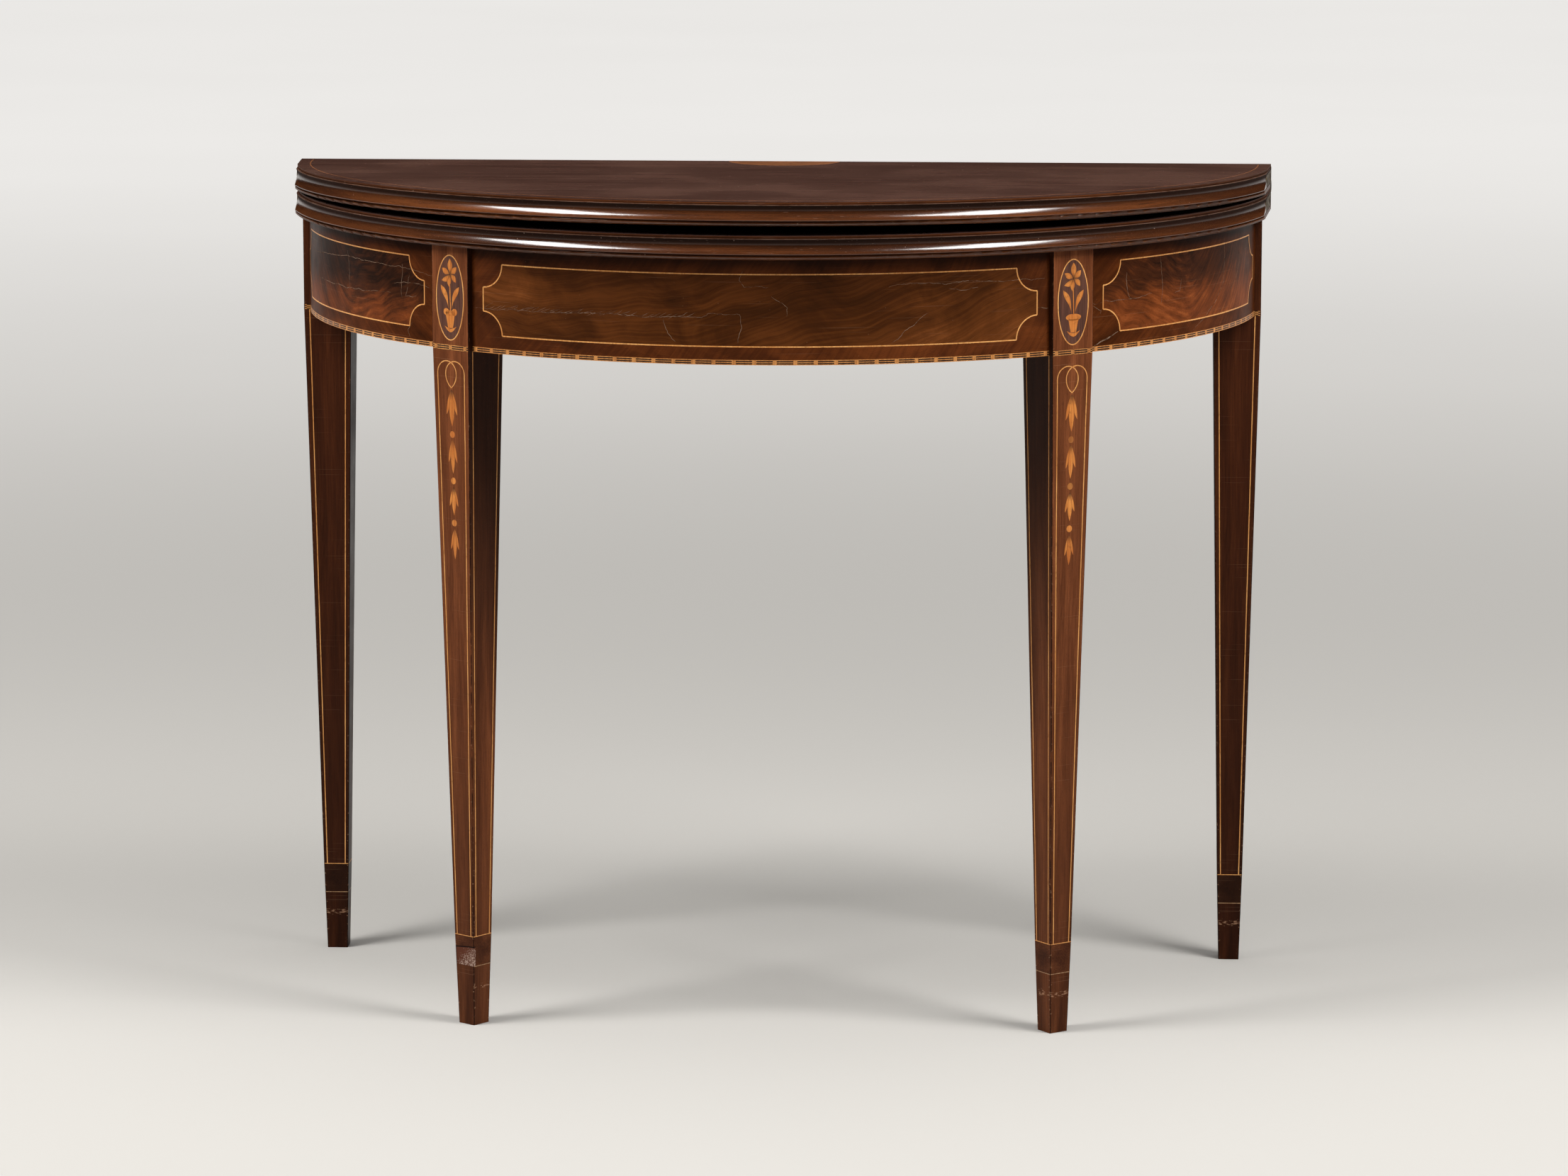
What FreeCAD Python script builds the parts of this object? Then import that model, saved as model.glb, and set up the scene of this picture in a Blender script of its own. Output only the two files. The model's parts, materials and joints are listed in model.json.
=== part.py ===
import FreeCAD, Part
import math
import os

# A half-round fold-over table. Lengths are millimetres, angles degrees.
# Working frame: the straight back edge of the leaves lies on y = 0, the bow of the table points to -Y,
# the floor is z = 0. The finished pieces are moved so that the origin is under the middle of the whole.

# Leaves
LEAF_RADIUS = 458.0
LEAF_THICKNESS = 20.7
HINGE_LINE_HEIGHT = 725.0
LEAF_FACE_CLEARANCE = 0.15
LEAF_BACK_CLEARANCE = 0.25
LEAF_LIFT_ANGLE = 1.03

# Moulded edge of a leaf: a lip, a ledge, a cove that flares out to a rim, and a bead under a quirk.
# Depths are below the top face, set-backs from the rim
LIP_DEPTH = 2.5
LIP_SETBACK = 5.2
LEDGE_SETBACK = 3.5
LEDGE_FOOT_DEPTH = 3.1
COVE_HOLLOW = 2.5
RIM_DEPTH = 15.4
QUIRK_DEPTH = 16.3
QUIRK_SETBACK = 2.4
BEAD_SETBACK = 0.9
LEAF_FOOT_SETBACK = 2.9

# Flat filed across the moulding at each end for the hinge
FLAT_SETBACK = 4.7
FLAT_ANGLE = 4.6

# Half-round ornament let into the top at the back
PATERA_RADIUS = 52.0
INLAY_THICKNESS = 1.0
INLAY_FIT = 0.05

# Curved frieze under the leaves
FRIEZE_OVERHANG = 15.5
FRIEZE_HEIGHT = 92.5
FRIEZE_THICKNESS = 22.0
VENEER_THICKNESS = 1.0
GLUE_LINE = 0.05
BANDING_HEIGHT = 4.5

# Legs
LEG_BLOCK = 44.0
LEG_PROUD = 4.8
LEG_CUFF_SIZE = 23.5
LEG_CUFF_HEIGHT = 82.0
LEG_FOOT_SIZE = 19.0
LEG_CORNER_RADIUS = 0.8
FRONT_LEG_ANGLE = 37.7
REAR_LEG_SIDE_OVERHANG = 14.0
REAR_LEG_BACK_OVERHANG = 20.0

# Oval panels on the front legs
OVAL_HEIGHT = 76.0
OVAL_WIDTH = 34.0

# Mortise and tenon joints
TENON_THICKNESS = 8.0
TENON_LENGTH = 15.0
TENON_HEIGHT = 60.0
TENON_ROOT = 4.0
TENON_FIT = 0.1

# Fixed back rail, and the swinging fly rails with their wooden knuckle joints
BACK_RAIL_THICKNESS = 21.0
RAIL_RISE = 5.0
GATE_RUN_CLEARANCE = 0.8
GATE_TOP_CLEARANCE = 0.5
FLY_RAIL_THICKNESS = 22.0
KNUCKLE_SPAN = 300.0
KNUCKLE_COUNT = 5
KNUCKLE_FIT = 0.5
KNUCKLE_END_FIT = 0.3
KNUCKLE_SHOULDER = 4.0
KNUCKLE_BEVEL = 0.5
KNUCKLE_PIN_RADIUS = 3.0
PIN_FIT = 0.05

# Glue blocks under the lower leaf, placed along the centre run and the side runs of the frieze
BLOCK_SIZE = 18.0
BLOCK_ANGLE = 7.0
CENTRE_BLOCK_SHARES = (0.0, 0.53)
SIDE_BLOCK_SHARES = (0.45, 0.98)

# Screws that hold the knuckle rail to the back rail
RAIL_SCREW_RADIUS = 2.2
RAIL_SCREW_HEAD_RADIUS = 4.4
RAIL_SCREW_HEAD_DEPTH = 3.0
RAIL_SCREW_LENGTH = 36.0
RAIL_SCREW_SPACING = 160.0
RAIL_SCREW_ROW_SPACING = 46.0
SCREW_FIT = 0.05

# Brass hinges at the two ends of the leaves
PLATE_HEIGHT = 11.0
PLATE_LENGTH = 80.0
PLATE_TIP_THICKNESS = 3.2
NECK_LENGTH = 15.0
EYE_RADIUS = 5.5
EYE_CLEARANCE = 0.3
LAP_CLEARANCE = 0.3
HINGE_PIN_RADIUS = 2.0
HINGE_PIN_RECESS = 0.4
HINGE_SCREW_RADIUS = 1.6
HINGE_SCREW_HEAD_RADIUS = 3.4
HINGE_SCREW_HEAD_DEPTH = 1.9
HINGE_SCREW_LENGTH = 17.0
HINGE_SCREW_PLACE_SHARES = (0.42, 0.9)

OVERRUN = 30.0

V = FreeCAD.Vector
UP = V(0, 0, 1)
RIGHT = V(1, 0, 0)

# Levels and places that follow from the sizes above
LOWER_TOP = HINGE_LINE_HEIGHT - LEAF_FACE_CLEARANCE
LOWER_BOTTOM = LOWER_TOP - LEAF_THICKNESS
UPPER_BOTTOM = HINGE_LINE_HEIGHT + LEAF_FACE_CLEARANCE
UPPER_TOP = UPPER_BOTTOM + LEAF_THICKNESS
FRIEZE_BOTTOM = LOWER_BOTTOM - FRIEZE_HEIGHT
FRIEZE_RADIUS = LEAF_RADIUS - FRIEZE_OVERHANG
FRIEZE_INNER = FRIEZE_RADIUS - FRIEZE_THICKNESS
GATE_TOP = LOWER_BOTTOM - GATE_TOP_CLEARANCE
RAIL_BOTTOM = FRIEZE_BOTTOM + RAIL_RISE
TENON_MIDDLE = (RAIL_BOTTOM + GATE_TOP) / 2
FRONT_LEG_RADIUS = FRIEZE_RADIUS + LEG_PROUD - LEG_BLOCK / 2
REAR_LEG_X = LEAF_RADIUS - REAR_LEG_SIDE_OVERHANG - LEG_BLOCK / 2
REAR_LEG_Y = -REAR_LEG_BACK_OVERHANG - LEG_BLOCK / 2
BACK_RAIL_Y = REAR_LEG_Y - LEG_BLOCK / 2 - GATE_RUN_CLEARANCE
KNUCKLE_RADIUS = FLY_RAIL_THICKNESS / 2
KNUCKLE_X = KNUCKLE_SPAN / 2
KNUCKLE_Y = BACK_RAIL_Y + GATE_RUN_CLEARANCE + KNUCKLE_RADIUS
PIVOT = V(0, LEAF_BACK_CLEARANCE, HINGE_LINE_HEIGHT)
FLAT_X = LEAF_RADIUS - FLAT_SETBACK
FLAT_SLOPE = math.tan(math.radians(FLAT_ANGLE))
PLATE_INNER_X = FLAT_X - FLAT_SLOPE * PLATE_LENGTH - PLATE_TIP_THICKNESS
LAP_X = (PLATE_INNER_X + FLAT_X) / 2
MIDDLE = V(0, (LEAF_RADIUS - LEAF_BACK_CLEARANCE - EYE_RADIUS) / 2, 0)


def box(x0, x1, y0, y1, z0, z1):
    return Part.makeBox(x1 - x0, y1 - y0, z1 - z0, V(x0, y0, z0))


def rod(start, direction, length, radius):
    return Part.makeCylinder(radius, length, start, direction)


def prism(points, z0, z1):
    ring = [V(x, y, z0) for x, y in points]
    return Part.Face(Part.makePolygon(ring + ring[:1])).extrude(V(0, 0, z1 - z0))


def mirrored(shape):
    return shape.mirror(V(0, 0, 0), RIGHT)


def both(shape):
    return [shape, mirrored(shape)]


def joined(shapes):
    whole = shapes[0].fuse(shapes[1:]) if len(shapes) > 1 else shapes[0]
    return whole.removeSplitter()


# Leaves


def cove(top, foot):
    """A hollow arc between two points of the section."""
    chord = foot - top
    inward = V(chord.z, 0, -chord.x).normalize()
    return Part.Arc(top, (top + foot) / 2 + inward * COVE_HOLLOW, foot).toShape()


def leaf_blank(bottom):
    """Half disc turned from the section of the moulded edge."""
    top = bottom + LEAF_THICKNESS

    def at(setback, depth):
        return V(LEAF_RADIUS - setback, 0, top - depth)

    lip_top, lip_foot = at(LIP_SETBACK, 0), at(LIP_SETBACK, LIP_DEPTH)
    ledge, ledge_foot = at(LEDGE_SETBACK, LIP_DEPTH), at(LEDGE_SETBACK, LEDGE_FOOT_DEPTH)
    rim, rim_foot, quirk = at(0, RIM_DEPTH), at(0, QUIRK_DEPTH), at(QUIRK_SETBACK, QUIRK_DEPTH)
    bead = at(BEAD_SETBACK, (QUIRK_DEPTH + LEAF_THICKNESS) / 2)
    foot = at(LEAF_FOOT_SETBACK, LEAF_THICKNESS)
    edges = [
        Part.makeLine(V(0, 0, top), lip_top),
        Part.makeLine(lip_top, lip_foot),
        Part.makeLine(lip_foot, ledge),
        Part.makeLine(ledge, ledge_foot),
        cove(ledge_foot, rim),
        Part.makeLine(rim, rim_foot),
        Part.makeLine(rim_foot, quirk),
        Part.Arc(quirk, bead, foot).toShape(),
        Part.makeLine(foot, V(0, 0, bottom)),
        Part.makeLine(V(0, 0, bottom), V(0, 0, top)),
    ]
    section = Part.Face(Part.Wire(Part.__sortEdges__(edges)))
    return section.revolve(V(0, 0, 0), UP, -180)


def flat_waste():
    """What the flat at the right-hand end takes off, at every height."""
    outer = LEAF_RADIUS + OVERRUN
    return prism(
        [
            (FLAT_X + FLAT_SLOPE * OVERRUN, OVERRUN),
            (FLAT_X - FLAT_SLOPE * LEAF_RADIUS, -LEAF_RADIUS),
            (outer, -LEAF_RADIUS),
            (outer, OVERRUN),
        ],
        0,
        UPPER_TOP + OVERRUN,
    )


def plate_blank(side, growth, outer):
    """Strap, round tip and neck of a hinge plate; side is -1 for the lower leaf and 1 for the upper."""
    half = PLATE_HEIGHT / 2 + growth
    middle = HINGE_LINE_HEIGHT + side * (LEAF_FACE_CLEARANCE + LEAF_THICKNESS / 2)
    inner = PLATE_INNER_X - growth
    face = HINGE_LINE_HEIGHT + side * LEAF_FACE_CLEARANCE
    back = OVERRUN if growth else 0
    tip_y = -PLATE_LENGTH + PLATE_HEIGHT / 2
    tip = rod(V(inner, tip_y, middle), RIGHT, outer - inner, half)
    strap = box(inner, outer, tip_y, back, middle - half, middle + half)
    reach = face - side * growth
    neck = box(inner, outer, -NECK_LENGTH - growth, back, min(middle, reach), max(middle, reach))
    return joined([tip, strap, neck])


def eye_rod(x0, x1, radius):
    return rod(V(x0, PIVOT.y, PIVOT.z), RIGHT, x1 - x0, radius)


def screw_places():
    return [-PLATE_LENGTH * share + PLATE_HEIGHT / 2 * share for share in HINGE_SCREW_PLACE_SHARES]


def hinge_screw(side, y, growth):
    """A countersunk screw along X, its head just under the flat."""
    height = HINGE_LINE_HEIGHT + side * (LEAF_FACE_CLEARANCE + LEAF_THICKNESS / 2)
    face = FLAT_X + FLAT_SLOPE * (y - HINGE_SCREW_HEAD_RADIUS)
    start = V(face, y, height)
    head = Part.makeCone(HINGE_SCREW_HEAD_RADIUS + growth, HINGE_SCREW_RADIUS + growth,
                         HINGE_SCREW_HEAD_DEPTH, start, -RIGHT)
    shank = rod(start, -RIGHT, HINGE_SCREW_LENGTH + growth, HINGE_SCREW_RADIUS + growth)
    screw = joined([head, shank])
    if growth:
        mouth = rod(start, RIGHT, OVERRUN, HINGE_SCREW_HEAD_RADIUS + growth)
        screw = joined([screw, mouth])
    return screw


def hinge_plate(side):
    """Right-hand plate: the eyes of the pair are lapped, the lower one inside, the upper one outside."""
    outer = LEAF_RADIUS
    plate = plate_blank(side, 0, outer)
    if side < 0:
        eye = (PLATE_INNER_X, LAP_X - LAP_CLEARANCE / 2)
        other = (LAP_X - LAP_CLEARANCE / 2, outer + OVERRUN)
    else:
        eye = (LAP_X + LAP_CLEARANCE / 2, outer)
        other = (PLATE_INNER_X - OVERRUN, LAP_X + LAP_CLEARANCE / 2)
    plate = plate.cut(eye_rod(other[0], other[1], EYE_RADIUS + EYE_CLEARANCE))
    plate = joined([plate, eye_rod(eye[0], eye[1], EYE_RADIUS)])
    holes = [eye_rod(PLATE_INNER_X - OVERRUN, outer + OVERRUN, HINGE_PIN_RADIUS + PIN_FIT)]
    holes += [hinge_screw(side, y, SCREW_FIT) for y in screw_places()]
    return plate.cut([flat_waste()] + holes)


def leaf(side):
    blank = leaf_blank(LOWER_BOTTOM if side < 0 else UPPER_BOTTOM)
    outer = LEAF_RADIUS + OVERRUN
    waste = [flat_waste(), plate_blank(side, INLAY_FIT, outer)]
    waste += [eye_rod(PLATE_INNER_X - EYE_CLEARANCE, outer, EYE_RADIUS + EYE_CLEARANCE)]
    waste += [hinge_screw(side, y, SCREW_FIT) for y in screw_places()]
    return blank.cut([piece for tool in waste for piece in both(tool)])


def half_disc(radius, z0, z1):
    disc = Part.makeCylinder(radius, z1 - z0, V(0, 0, z0), UP)
    return disc.common(box(-radius, radius, -radius, 0, z0, z1))


# Frieze


def ring_piece(r0, r1, z0, z1, angle0, angle1):
    """Part of a ring between two angles from the front."""
    section = Part.Face(Part.makePolygon([V(r0, 0, z0), V(r1, 0, z0), V(r1, 0, z1), V(r0, 0, z1), V(r0, 0, z0)]))
    section.rotate(V(0, 0, 0), UP, angle0 - 90)
    return section.revolve(V(0, 0, 0), UP, angle1 - angle0)


def leg_turned(shape, side):
    """Turn a shape made on the front centre line to the place of a front leg."""
    turned = shape.copy()
    turned.rotate(V(0, 0, 0), UP, side * FRONT_LEG_ANGLE)
    return turned


def front_block(side, z0, z1):
    half = LEG_BLOCK / 2
    return leg_turned(box(-half, half, -FRONT_LEG_RADIUS - half, -FRONT_LEG_RADIUS + half, z0, z1), side)


def frieze_part(place, r0, r1, z0, z1):
    """Left (-1), centre (0) or right (1) run of the curved frieze, cut off square at the legs."""
    blocks = [front_block(side, z0 - OVERRUN, z1 + OVERRUN) for side in (-1, 1)]
    if place == 0:
        return ring_piece(r0, r1, z0, z1, -FRONT_LEG_ANGLE, FRONT_LEG_ANGLE).cut(blocks)
    behind = box(0, LEAF_RADIUS, BACK_RAIL_Y, OVERRUN, z0 - OVERRUN, z1 + OVERRUN)
    run = ring_piece(r0, r1, z0, z1, FRONT_LEG_ANGLE, 90).cut(blocks + [behind])
    return run if place > 0 else mirrored(run)


def frieze_tenon(side, edge, growth):
    """Tenon into a front leg; edge is -1 or 1 for the two flanks of the leg."""
    middle = FRIEZE_RADIUS - FRIEZE_THICKNESS / 2
    flank = LEG_BLOCK / 2
    a, b = edge * (flank - TENON_LENGTH - growth), edge * (flank + TENON_ROOT)
    thick, tall = TENON_THICKNESS / 2 + growth, TENON_HEIGHT / 2 + growth
    tenon = box(min(a, b), max(a, b), -middle - thick, -middle + thick, TENON_MIDDLE - tall, TENON_MIDDLE + tall)
    return leg_turned(tenon, side)


def frieze_core(place):
    core = frieze_part(place, FRIEZE_INNER, FRIEZE_RADIUS - VENEER_THICKNESS, FRIEZE_BOTTOM, LOWER_BOTTOM)
    if place == 0:
        tenons = [frieze_tenon(-1, 1, 0), frieze_tenon(1, -1, 0)]
    else:
        tenons = [frieze_tenon(place, place, 0)]
    return joined([core] + tenons)


# Legs


def leg_shape(x, y, top):
    """Square block above, tapering on all four sides below the frieze and a little faster below the cuff."""
    def square(size, z):
        """A square with its corners eased by a small radius."""
        centre, half = V(x, y, z), size / 2
        straight = half - LEG_CORNER_RADIUS
        bulge = straight + LEG_CORNER_RADIUS * math.cos(math.radians(45))
        edges = []
        for turn in range(4):
            spin = FreeCAD.Rotation(UP, turn * 90)
            start, end = centre + spin.multVec(V(half, -straight, 0)), centre + spin.multVec(V(half, straight, 0))
            corner, after = centre + spin.multVec(V(bulge, bulge, 0)), centre + spin.multVec(V(straight, half, 0))
            edges += [Part.makeLine(start, end), Part.Arc(end, corner, after).toShape()]
        return Part.Wire(edges)

    upper = Part.makeLoft([square(LEG_BLOCK, FRIEZE_BOTTOM), square(LEG_CUFF_SIZE, LEG_CUFF_HEIGHT)], True, True)
    foot = Part.makeLoft([square(LEG_CUFF_SIZE, LEG_CUFF_HEIGHT), square(LEG_FOOT_SIZE, 0)], True, True)
    block = Part.Face(square(LEG_BLOCK, FRIEZE_BOTTOM)).extrude(V(0, 0, top - FRIEZE_BOTTOM))
    return joined([block, upper, foot])


def oval(growth, depth):
    """Oval panel in the front face of a leg that stands on the centre line."""
    face = -FRONT_LEG_RADIUS - LEG_BLOCK / 2
    ring = Part.Ellipse(V(0, 0, 0), OVAL_HEIGHT / 2 + growth, OVAL_WIDTH / 2 + growth).toShape()
    disc = Part.Face(Part.Wire([ring])).extrude(V(0, 0, depth))
    disc.rotate(V(0, 0, 0), UP, 90)
    disc.rotate(V(0, 0, 0), RIGHT, 90)
    disc.translate(V(0, face + INLAY_THICKNESS + growth, (FRIEZE_BOTTOM + LOWER_BOTTOM) / 2))
    return disc


def front_leg(side):
    plain = leg_shape(0, -FRONT_LEG_RADIUS, LOWER_BOTTOM)
    plain = plain.cut(oval(INLAY_FIT, INLAY_THICKNESS + OVERRUN))
    leg = leg_turned(plain, side)
    return leg.cut([frieze_tenon(side, edge, TENON_FIT) for edge in (-1, 1)])


# Back rail, knuckle rail and gates


def fly_tenon(growth):
    start = REAR_LEG_X - LEG_BLOCK / 2
    thick, tall = TENON_THICKNESS / 2 + growth, TENON_HEIGHT / 2 + growth
    return box(start - TENON_ROOT, start + TENON_LENGTH + growth, KNUCKLE_Y - thick, KNUCKLE_Y + thick,
               TENON_MIDDLE - tall, TENON_MIDDLE + tall)


def knuckle_end(rail, way, first):
    """Shape one end of a rail into fingers round the right-hand pin; way is the direction of the rail from it."""
    x, y = KNUCKLE_X, KNUCKLE_Y
    pitch = (GATE_TOP - RAIL_BOTTOM) / KNUCKLE_COUNT
    rear = FLY_RAIL_THICKNESS / 2 + OVERRUN
    bevel = prism(
        [
            (x, y - KNUCKLE_BEVEL),
            (x + way * (rear + KNUCKLE_BEVEL), y + rear),
            (x, y + rear),
        ],
        RAIL_BOTTOM - OVERRUN,
        GATE_TOP + OVERRUN,
    )
    rail = rail.cut(bevel)
    sockets, fingers = [], []
    for level in range(KNUCKLE_COUNT):
        low, high = RAIL_BOTTOM + pitch * level, RAIL_BOTTOM + pitch * (level + 1)
        if level % 2 == first:
            end_low = 0 if level == 0 else KNUCKLE_END_FIT
            end_high = 0 if level == KNUCKLE_COUNT - 1 else KNUCKLE_END_FIT
            fingers.append(rod(V(x, y, low + end_low), UP, high - low - end_low - end_high, KNUCKLE_RADIUS))
        else:
            low = low - OVERRUN if level == 0 else low
            high = high + OVERRUN if level == KNUCKLE_COUNT - 1 else high
            sockets.append(rod(V(x, y, low), UP, high - low, KNUCKLE_RADIUS + KNUCKLE_FIT))
            shoulder = sorted([x - way * OVERRUN, x + way * KNUCKLE_SHOULDER])
            sockets.append(box(shoulder[0], shoulder[1], y - rear, y + rear, low, high))
    rail = joined([rail.cut(sockets)] + fingers)
    return rail.cut(rod(V(x, y, 0), UP, UPPER_TOP, KNUCKLE_PIN_RADIUS + PIN_FIT))


def fly_rail():
    half = FLY_RAIL_THICKNESS / 2
    end = REAR_LEG_X - LEG_BLOCK / 2
    rail = box(KNUCKLE_X, end, KNUCKLE_Y - half, KNUCKLE_Y + half, RAIL_BOTTOM, GATE_TOP)
    return knuckle_end(joined([rail, fly_tenon(0)]), 1, 1)


def rear_leg():
    return leg_shape(REAR_LEG_X, REAR_LEG_Y, GATE_TOP).cut(fly_tenon(TENON_FIT))


def rail_screw(x, z, growth):
    start = V(x, KNUCKLE_Y + FLY_RAIL_THICKNESS / 2, z)
    back = V(0, -1, 0)
    head = Part.makeCone(RAIL_SCREW_HEAD_RADIUS + growth, RAIL_SCREW_RADIUS + growth,
                         RAIL_SCREW_HEAD_DEPTH, start, back)
    shank = rod(start, back, RAIL_SCREW_LENGTH + growth, RAIL_SCREW_RADIUS + growth)
    return joined([head, shank])


def rail_screw_places():
    middle = (RAIL_BOTTOM + GATE_TOP) / 2
    return [(sx * RAIL_SCREW_SPACING / 2, middle + sz * RAIL_SCREW_ROW_SPACING / 2) for sx in (-1, 1) for sz in (-1, 1)]


def knuckle_rail():
    rail = box(-KNUCKLE_X, KNUCKLE_X, BACK_RAIL_Y, KNUCKLE_Y + FLY_RAIL_THICKNESS / 2, RAIL_BOTTOM, GATE_TOP)
    rail = knuckle_end(rail, -1, 0)
    rail = mirrored(knuckle_end(mirrored(rail), -1, 0))
    return rail.cut([rail_screw(x, z, SCREW_FIT) for x, z in rail_screw_places()])


def back_rail():
    inside = Part.makeCylinder(FRIEZE_INNER - GLUE_LINE, LOWER_BOTTOM, V(0, 0, 0), UP)
    span = box(-LEAF_RADIUS, LEAF_RADIUS, BACK_RAIL_Y - BACK_RAIL_THICKNESS, BACK_RAIL_Y, RAIL_BOTTOM, LOWER_BOTTOM)
    return span.common(inside).cut([rail_screw(x, z, SCREW_FIT) for x, z in rail_screw_places()])


def block_angles():
    """Angles of the glue blocks from the front, clear of the legs and of the back rail."""
    inner = FRIEZE_INNER - GLUE_LINE - BLOCK_SIZE
    first = FRONT_LEG_ANGLE + math.degrees(math.asin(LEG_BLOCK / 2 / inner)) + BLOCK_ANGLE / 2
    last = math.degrees(math.acos((BACK_RAIL_THICKNESS - BACK_RAIL_Y) / inner)) - BLOCK_ANGLE / 2
    centre = [share * FRONT_LEG_ANGLE for share in CENTRE_BLOCK_SHARES]
    return centre + [first + share * (last - first) for share in SIDE_BLOCK_SHARES]


def glue_block(angle):
    outer = FRIEZE_INNER - GLUE_LINE
    corner = [V(outer, 0, LOWER_BOTTOM), V(outer, 0, LOWER_BOTTOM - BLOCK_SIZE), V(outer - BLOCK_SIZE, 0, LOWER_BOTTOM)]
    section = Part.Face(Part.makePolygon(corner + corner[:1]))
    section.rotate(V(0, 0, 0), UP, angle - BLOCK_ANGLE / 2 - 90)
    return section.revolve(V(0, 0, 0), UP, BLOCK_ANGLE)


def build():
    top_waste = half_disc(PATERA_RADIUS + INLAY_FIT, UPPER_TOP - INLAY_THICKNESS, UPPER_TOP + OVERRUN)
    band = (FRIEZE_RADIUS - VENEER_THICKNESS + GLUE_LINE, FRIEZE_RADIUS)
    band_top = FRIEZE_BOTTOM + BANDING_HEIGHT
    lower_plate, upper_plate = hinge_plate(-1), hinge_plate(1)
    lower_screws = [piece for y in screw_places() for piece in both(hinge_screw(-1, y, 0))]
    upper_screws = [piece for y in screw_places() for piece in both(hinge_screw(1, y, 0))]
    pin_end = FLAT_X - HINGE_PIN_RECESS - FLAT_SLOPE * HINGE_PIN_RADIUS
    blocks = [glue_block(side * angle) for angle in block_angles() for side in ((1,) if angle == 0 else (-1, 1))]
    knuckle_pin = rod(V(KNUCKLE_X, KNUCKLE_Y, RAIL_BOTTOM), UP, GATE_TOP - RAIL_BOTTOM, KNUCKLE_PIN_RADIUS)
    rail, post = fly_rail(), rear_leg()
    nodes = {
        "lower_leaf": [leaf(-1)],
        "front_leg_left": [front_leg(-1)],
        "front_leg_right": [front_leg(1)],
        "inner_back_rail": [back_rail()],
        "knuckle_rail": [knuckle_rail()],
        "knuckle_pins": both(knuckle_pin),
        "rail_screws": [rail_screw(x, z, 0) for x, z in rail_screw_places()],
        "glue_blocks": blocks,
        "lower_hinge_plate_left": [mirrored(lower_plate)],
        "lower_hinge_plate_right": [lower_plate],
        "lower_hinge_screws": lower_screws,
        "hinge_pins": both(eye_rod(PLATE_INNER_X, pin_end, HINGE_PIN_RADIUS)),
        "left_fly_rail": [mirrored(rail)],
        "left_rear_leg": [mirrored(post)],
        "right_fly_rail": [rail],
        "right_rear_leg": [post],
    }
    for place, name in ((-1, "left"), (0, "centre"), (1, "right")):
        nodes["frieze_core_" + name] = [frieze_core(place)]
        nodes["frieze_veneer_" + name] = [frieze_part(place, band[0], band[1], band_top, LOWER_BOTTOM)]
        nodes["frieze_banding_" + name] = [frieze_part(place, band[0], band[1], FRIEZE_BOTTOM, band_top)]
    for side, name in ((-1, "left"), (1, "right")):
        nodes["oval_panel_" + name] = [leg_turned(oval(0, INLAY_THICKNESS), side)]
    lifted = {
        "upper_leaf": [leaf(1).cut(top_waste)],
        "half_patera": [half_disc(PATERA_RADIUS, UPPER_TOP - INLAY_THICKNESS, UPPER_TOP)],
        "upper_hinge_plate_left": [mirrored(upper_plate)],
        "upper_hinge_plate_right": [upper_plate],
        "upper_hinge_screws": upper_screws,
    }
    for name, shapes in lifted.items():
        for shape in shapes:
            shape.rotate(PIVOT, -RIGHT, LEAF_LIFT_ANGLE)
        nodes[name] = shapes
    return nodes


def main():
    os.makedirs("parts", exist_ok=True)
    for name, shapes in build().items():
        solids = [solid for shape in shapes for solid in shape.Solids]
        whole = solids[0] if len(solids) == 1 else Part.makeCompound(solids)
        whole.translate(MIDDLE)
        whole.exportStep("parts/" + name + ".step")
        size = whole.BoundBox
        print(name, len(solids), whole.isValid(), "%.1f x %.1f x %.1f" % (size.XLength, size.YLength, size.ZLength))


main()
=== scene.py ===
# %% [markdown]
# # A half-round folding table
# The table is a polished mahogany half circle on four tapered legs. Its top is two leaves hinged at the
# back, and both rear legs swing out on gates to carry the opened leaf. The construction comes in as a
# fixed frame. This lesson adds what a cabinet maker and two centuries add to it: figured veneer, pale
# stringing and inlaid flowers, polish, cracks and wear.

# %% Load the frame
import json
import math
from types import SimpleNamespace

import bmesh
import bpy
from mathutils import Matrix, Vector, noise as wander


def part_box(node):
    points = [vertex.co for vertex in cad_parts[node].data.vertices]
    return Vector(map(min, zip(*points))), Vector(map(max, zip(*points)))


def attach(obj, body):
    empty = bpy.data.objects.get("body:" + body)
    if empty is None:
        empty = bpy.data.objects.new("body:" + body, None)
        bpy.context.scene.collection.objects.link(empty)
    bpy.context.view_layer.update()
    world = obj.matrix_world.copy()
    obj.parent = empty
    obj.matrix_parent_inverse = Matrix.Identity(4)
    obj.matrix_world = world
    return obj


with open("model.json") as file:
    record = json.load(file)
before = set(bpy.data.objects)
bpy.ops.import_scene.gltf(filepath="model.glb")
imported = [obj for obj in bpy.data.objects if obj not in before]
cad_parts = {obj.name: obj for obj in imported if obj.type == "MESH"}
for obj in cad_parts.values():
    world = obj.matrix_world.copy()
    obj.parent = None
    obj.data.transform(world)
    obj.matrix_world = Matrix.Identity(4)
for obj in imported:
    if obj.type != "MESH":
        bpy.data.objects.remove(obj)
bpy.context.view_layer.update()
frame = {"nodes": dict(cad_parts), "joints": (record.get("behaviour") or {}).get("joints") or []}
nodes = frame["nodes"]

# %% [markdown]
# Everything below is placed by the frame itself. The leaves and the frieze are arcs about one upright
# line through the middle of the straight back edge, so that line and a few radii and heights are read
# first. The legs are square and taper in two stages, which their boxes don't tell, so those four sizes
# are written down.

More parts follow.
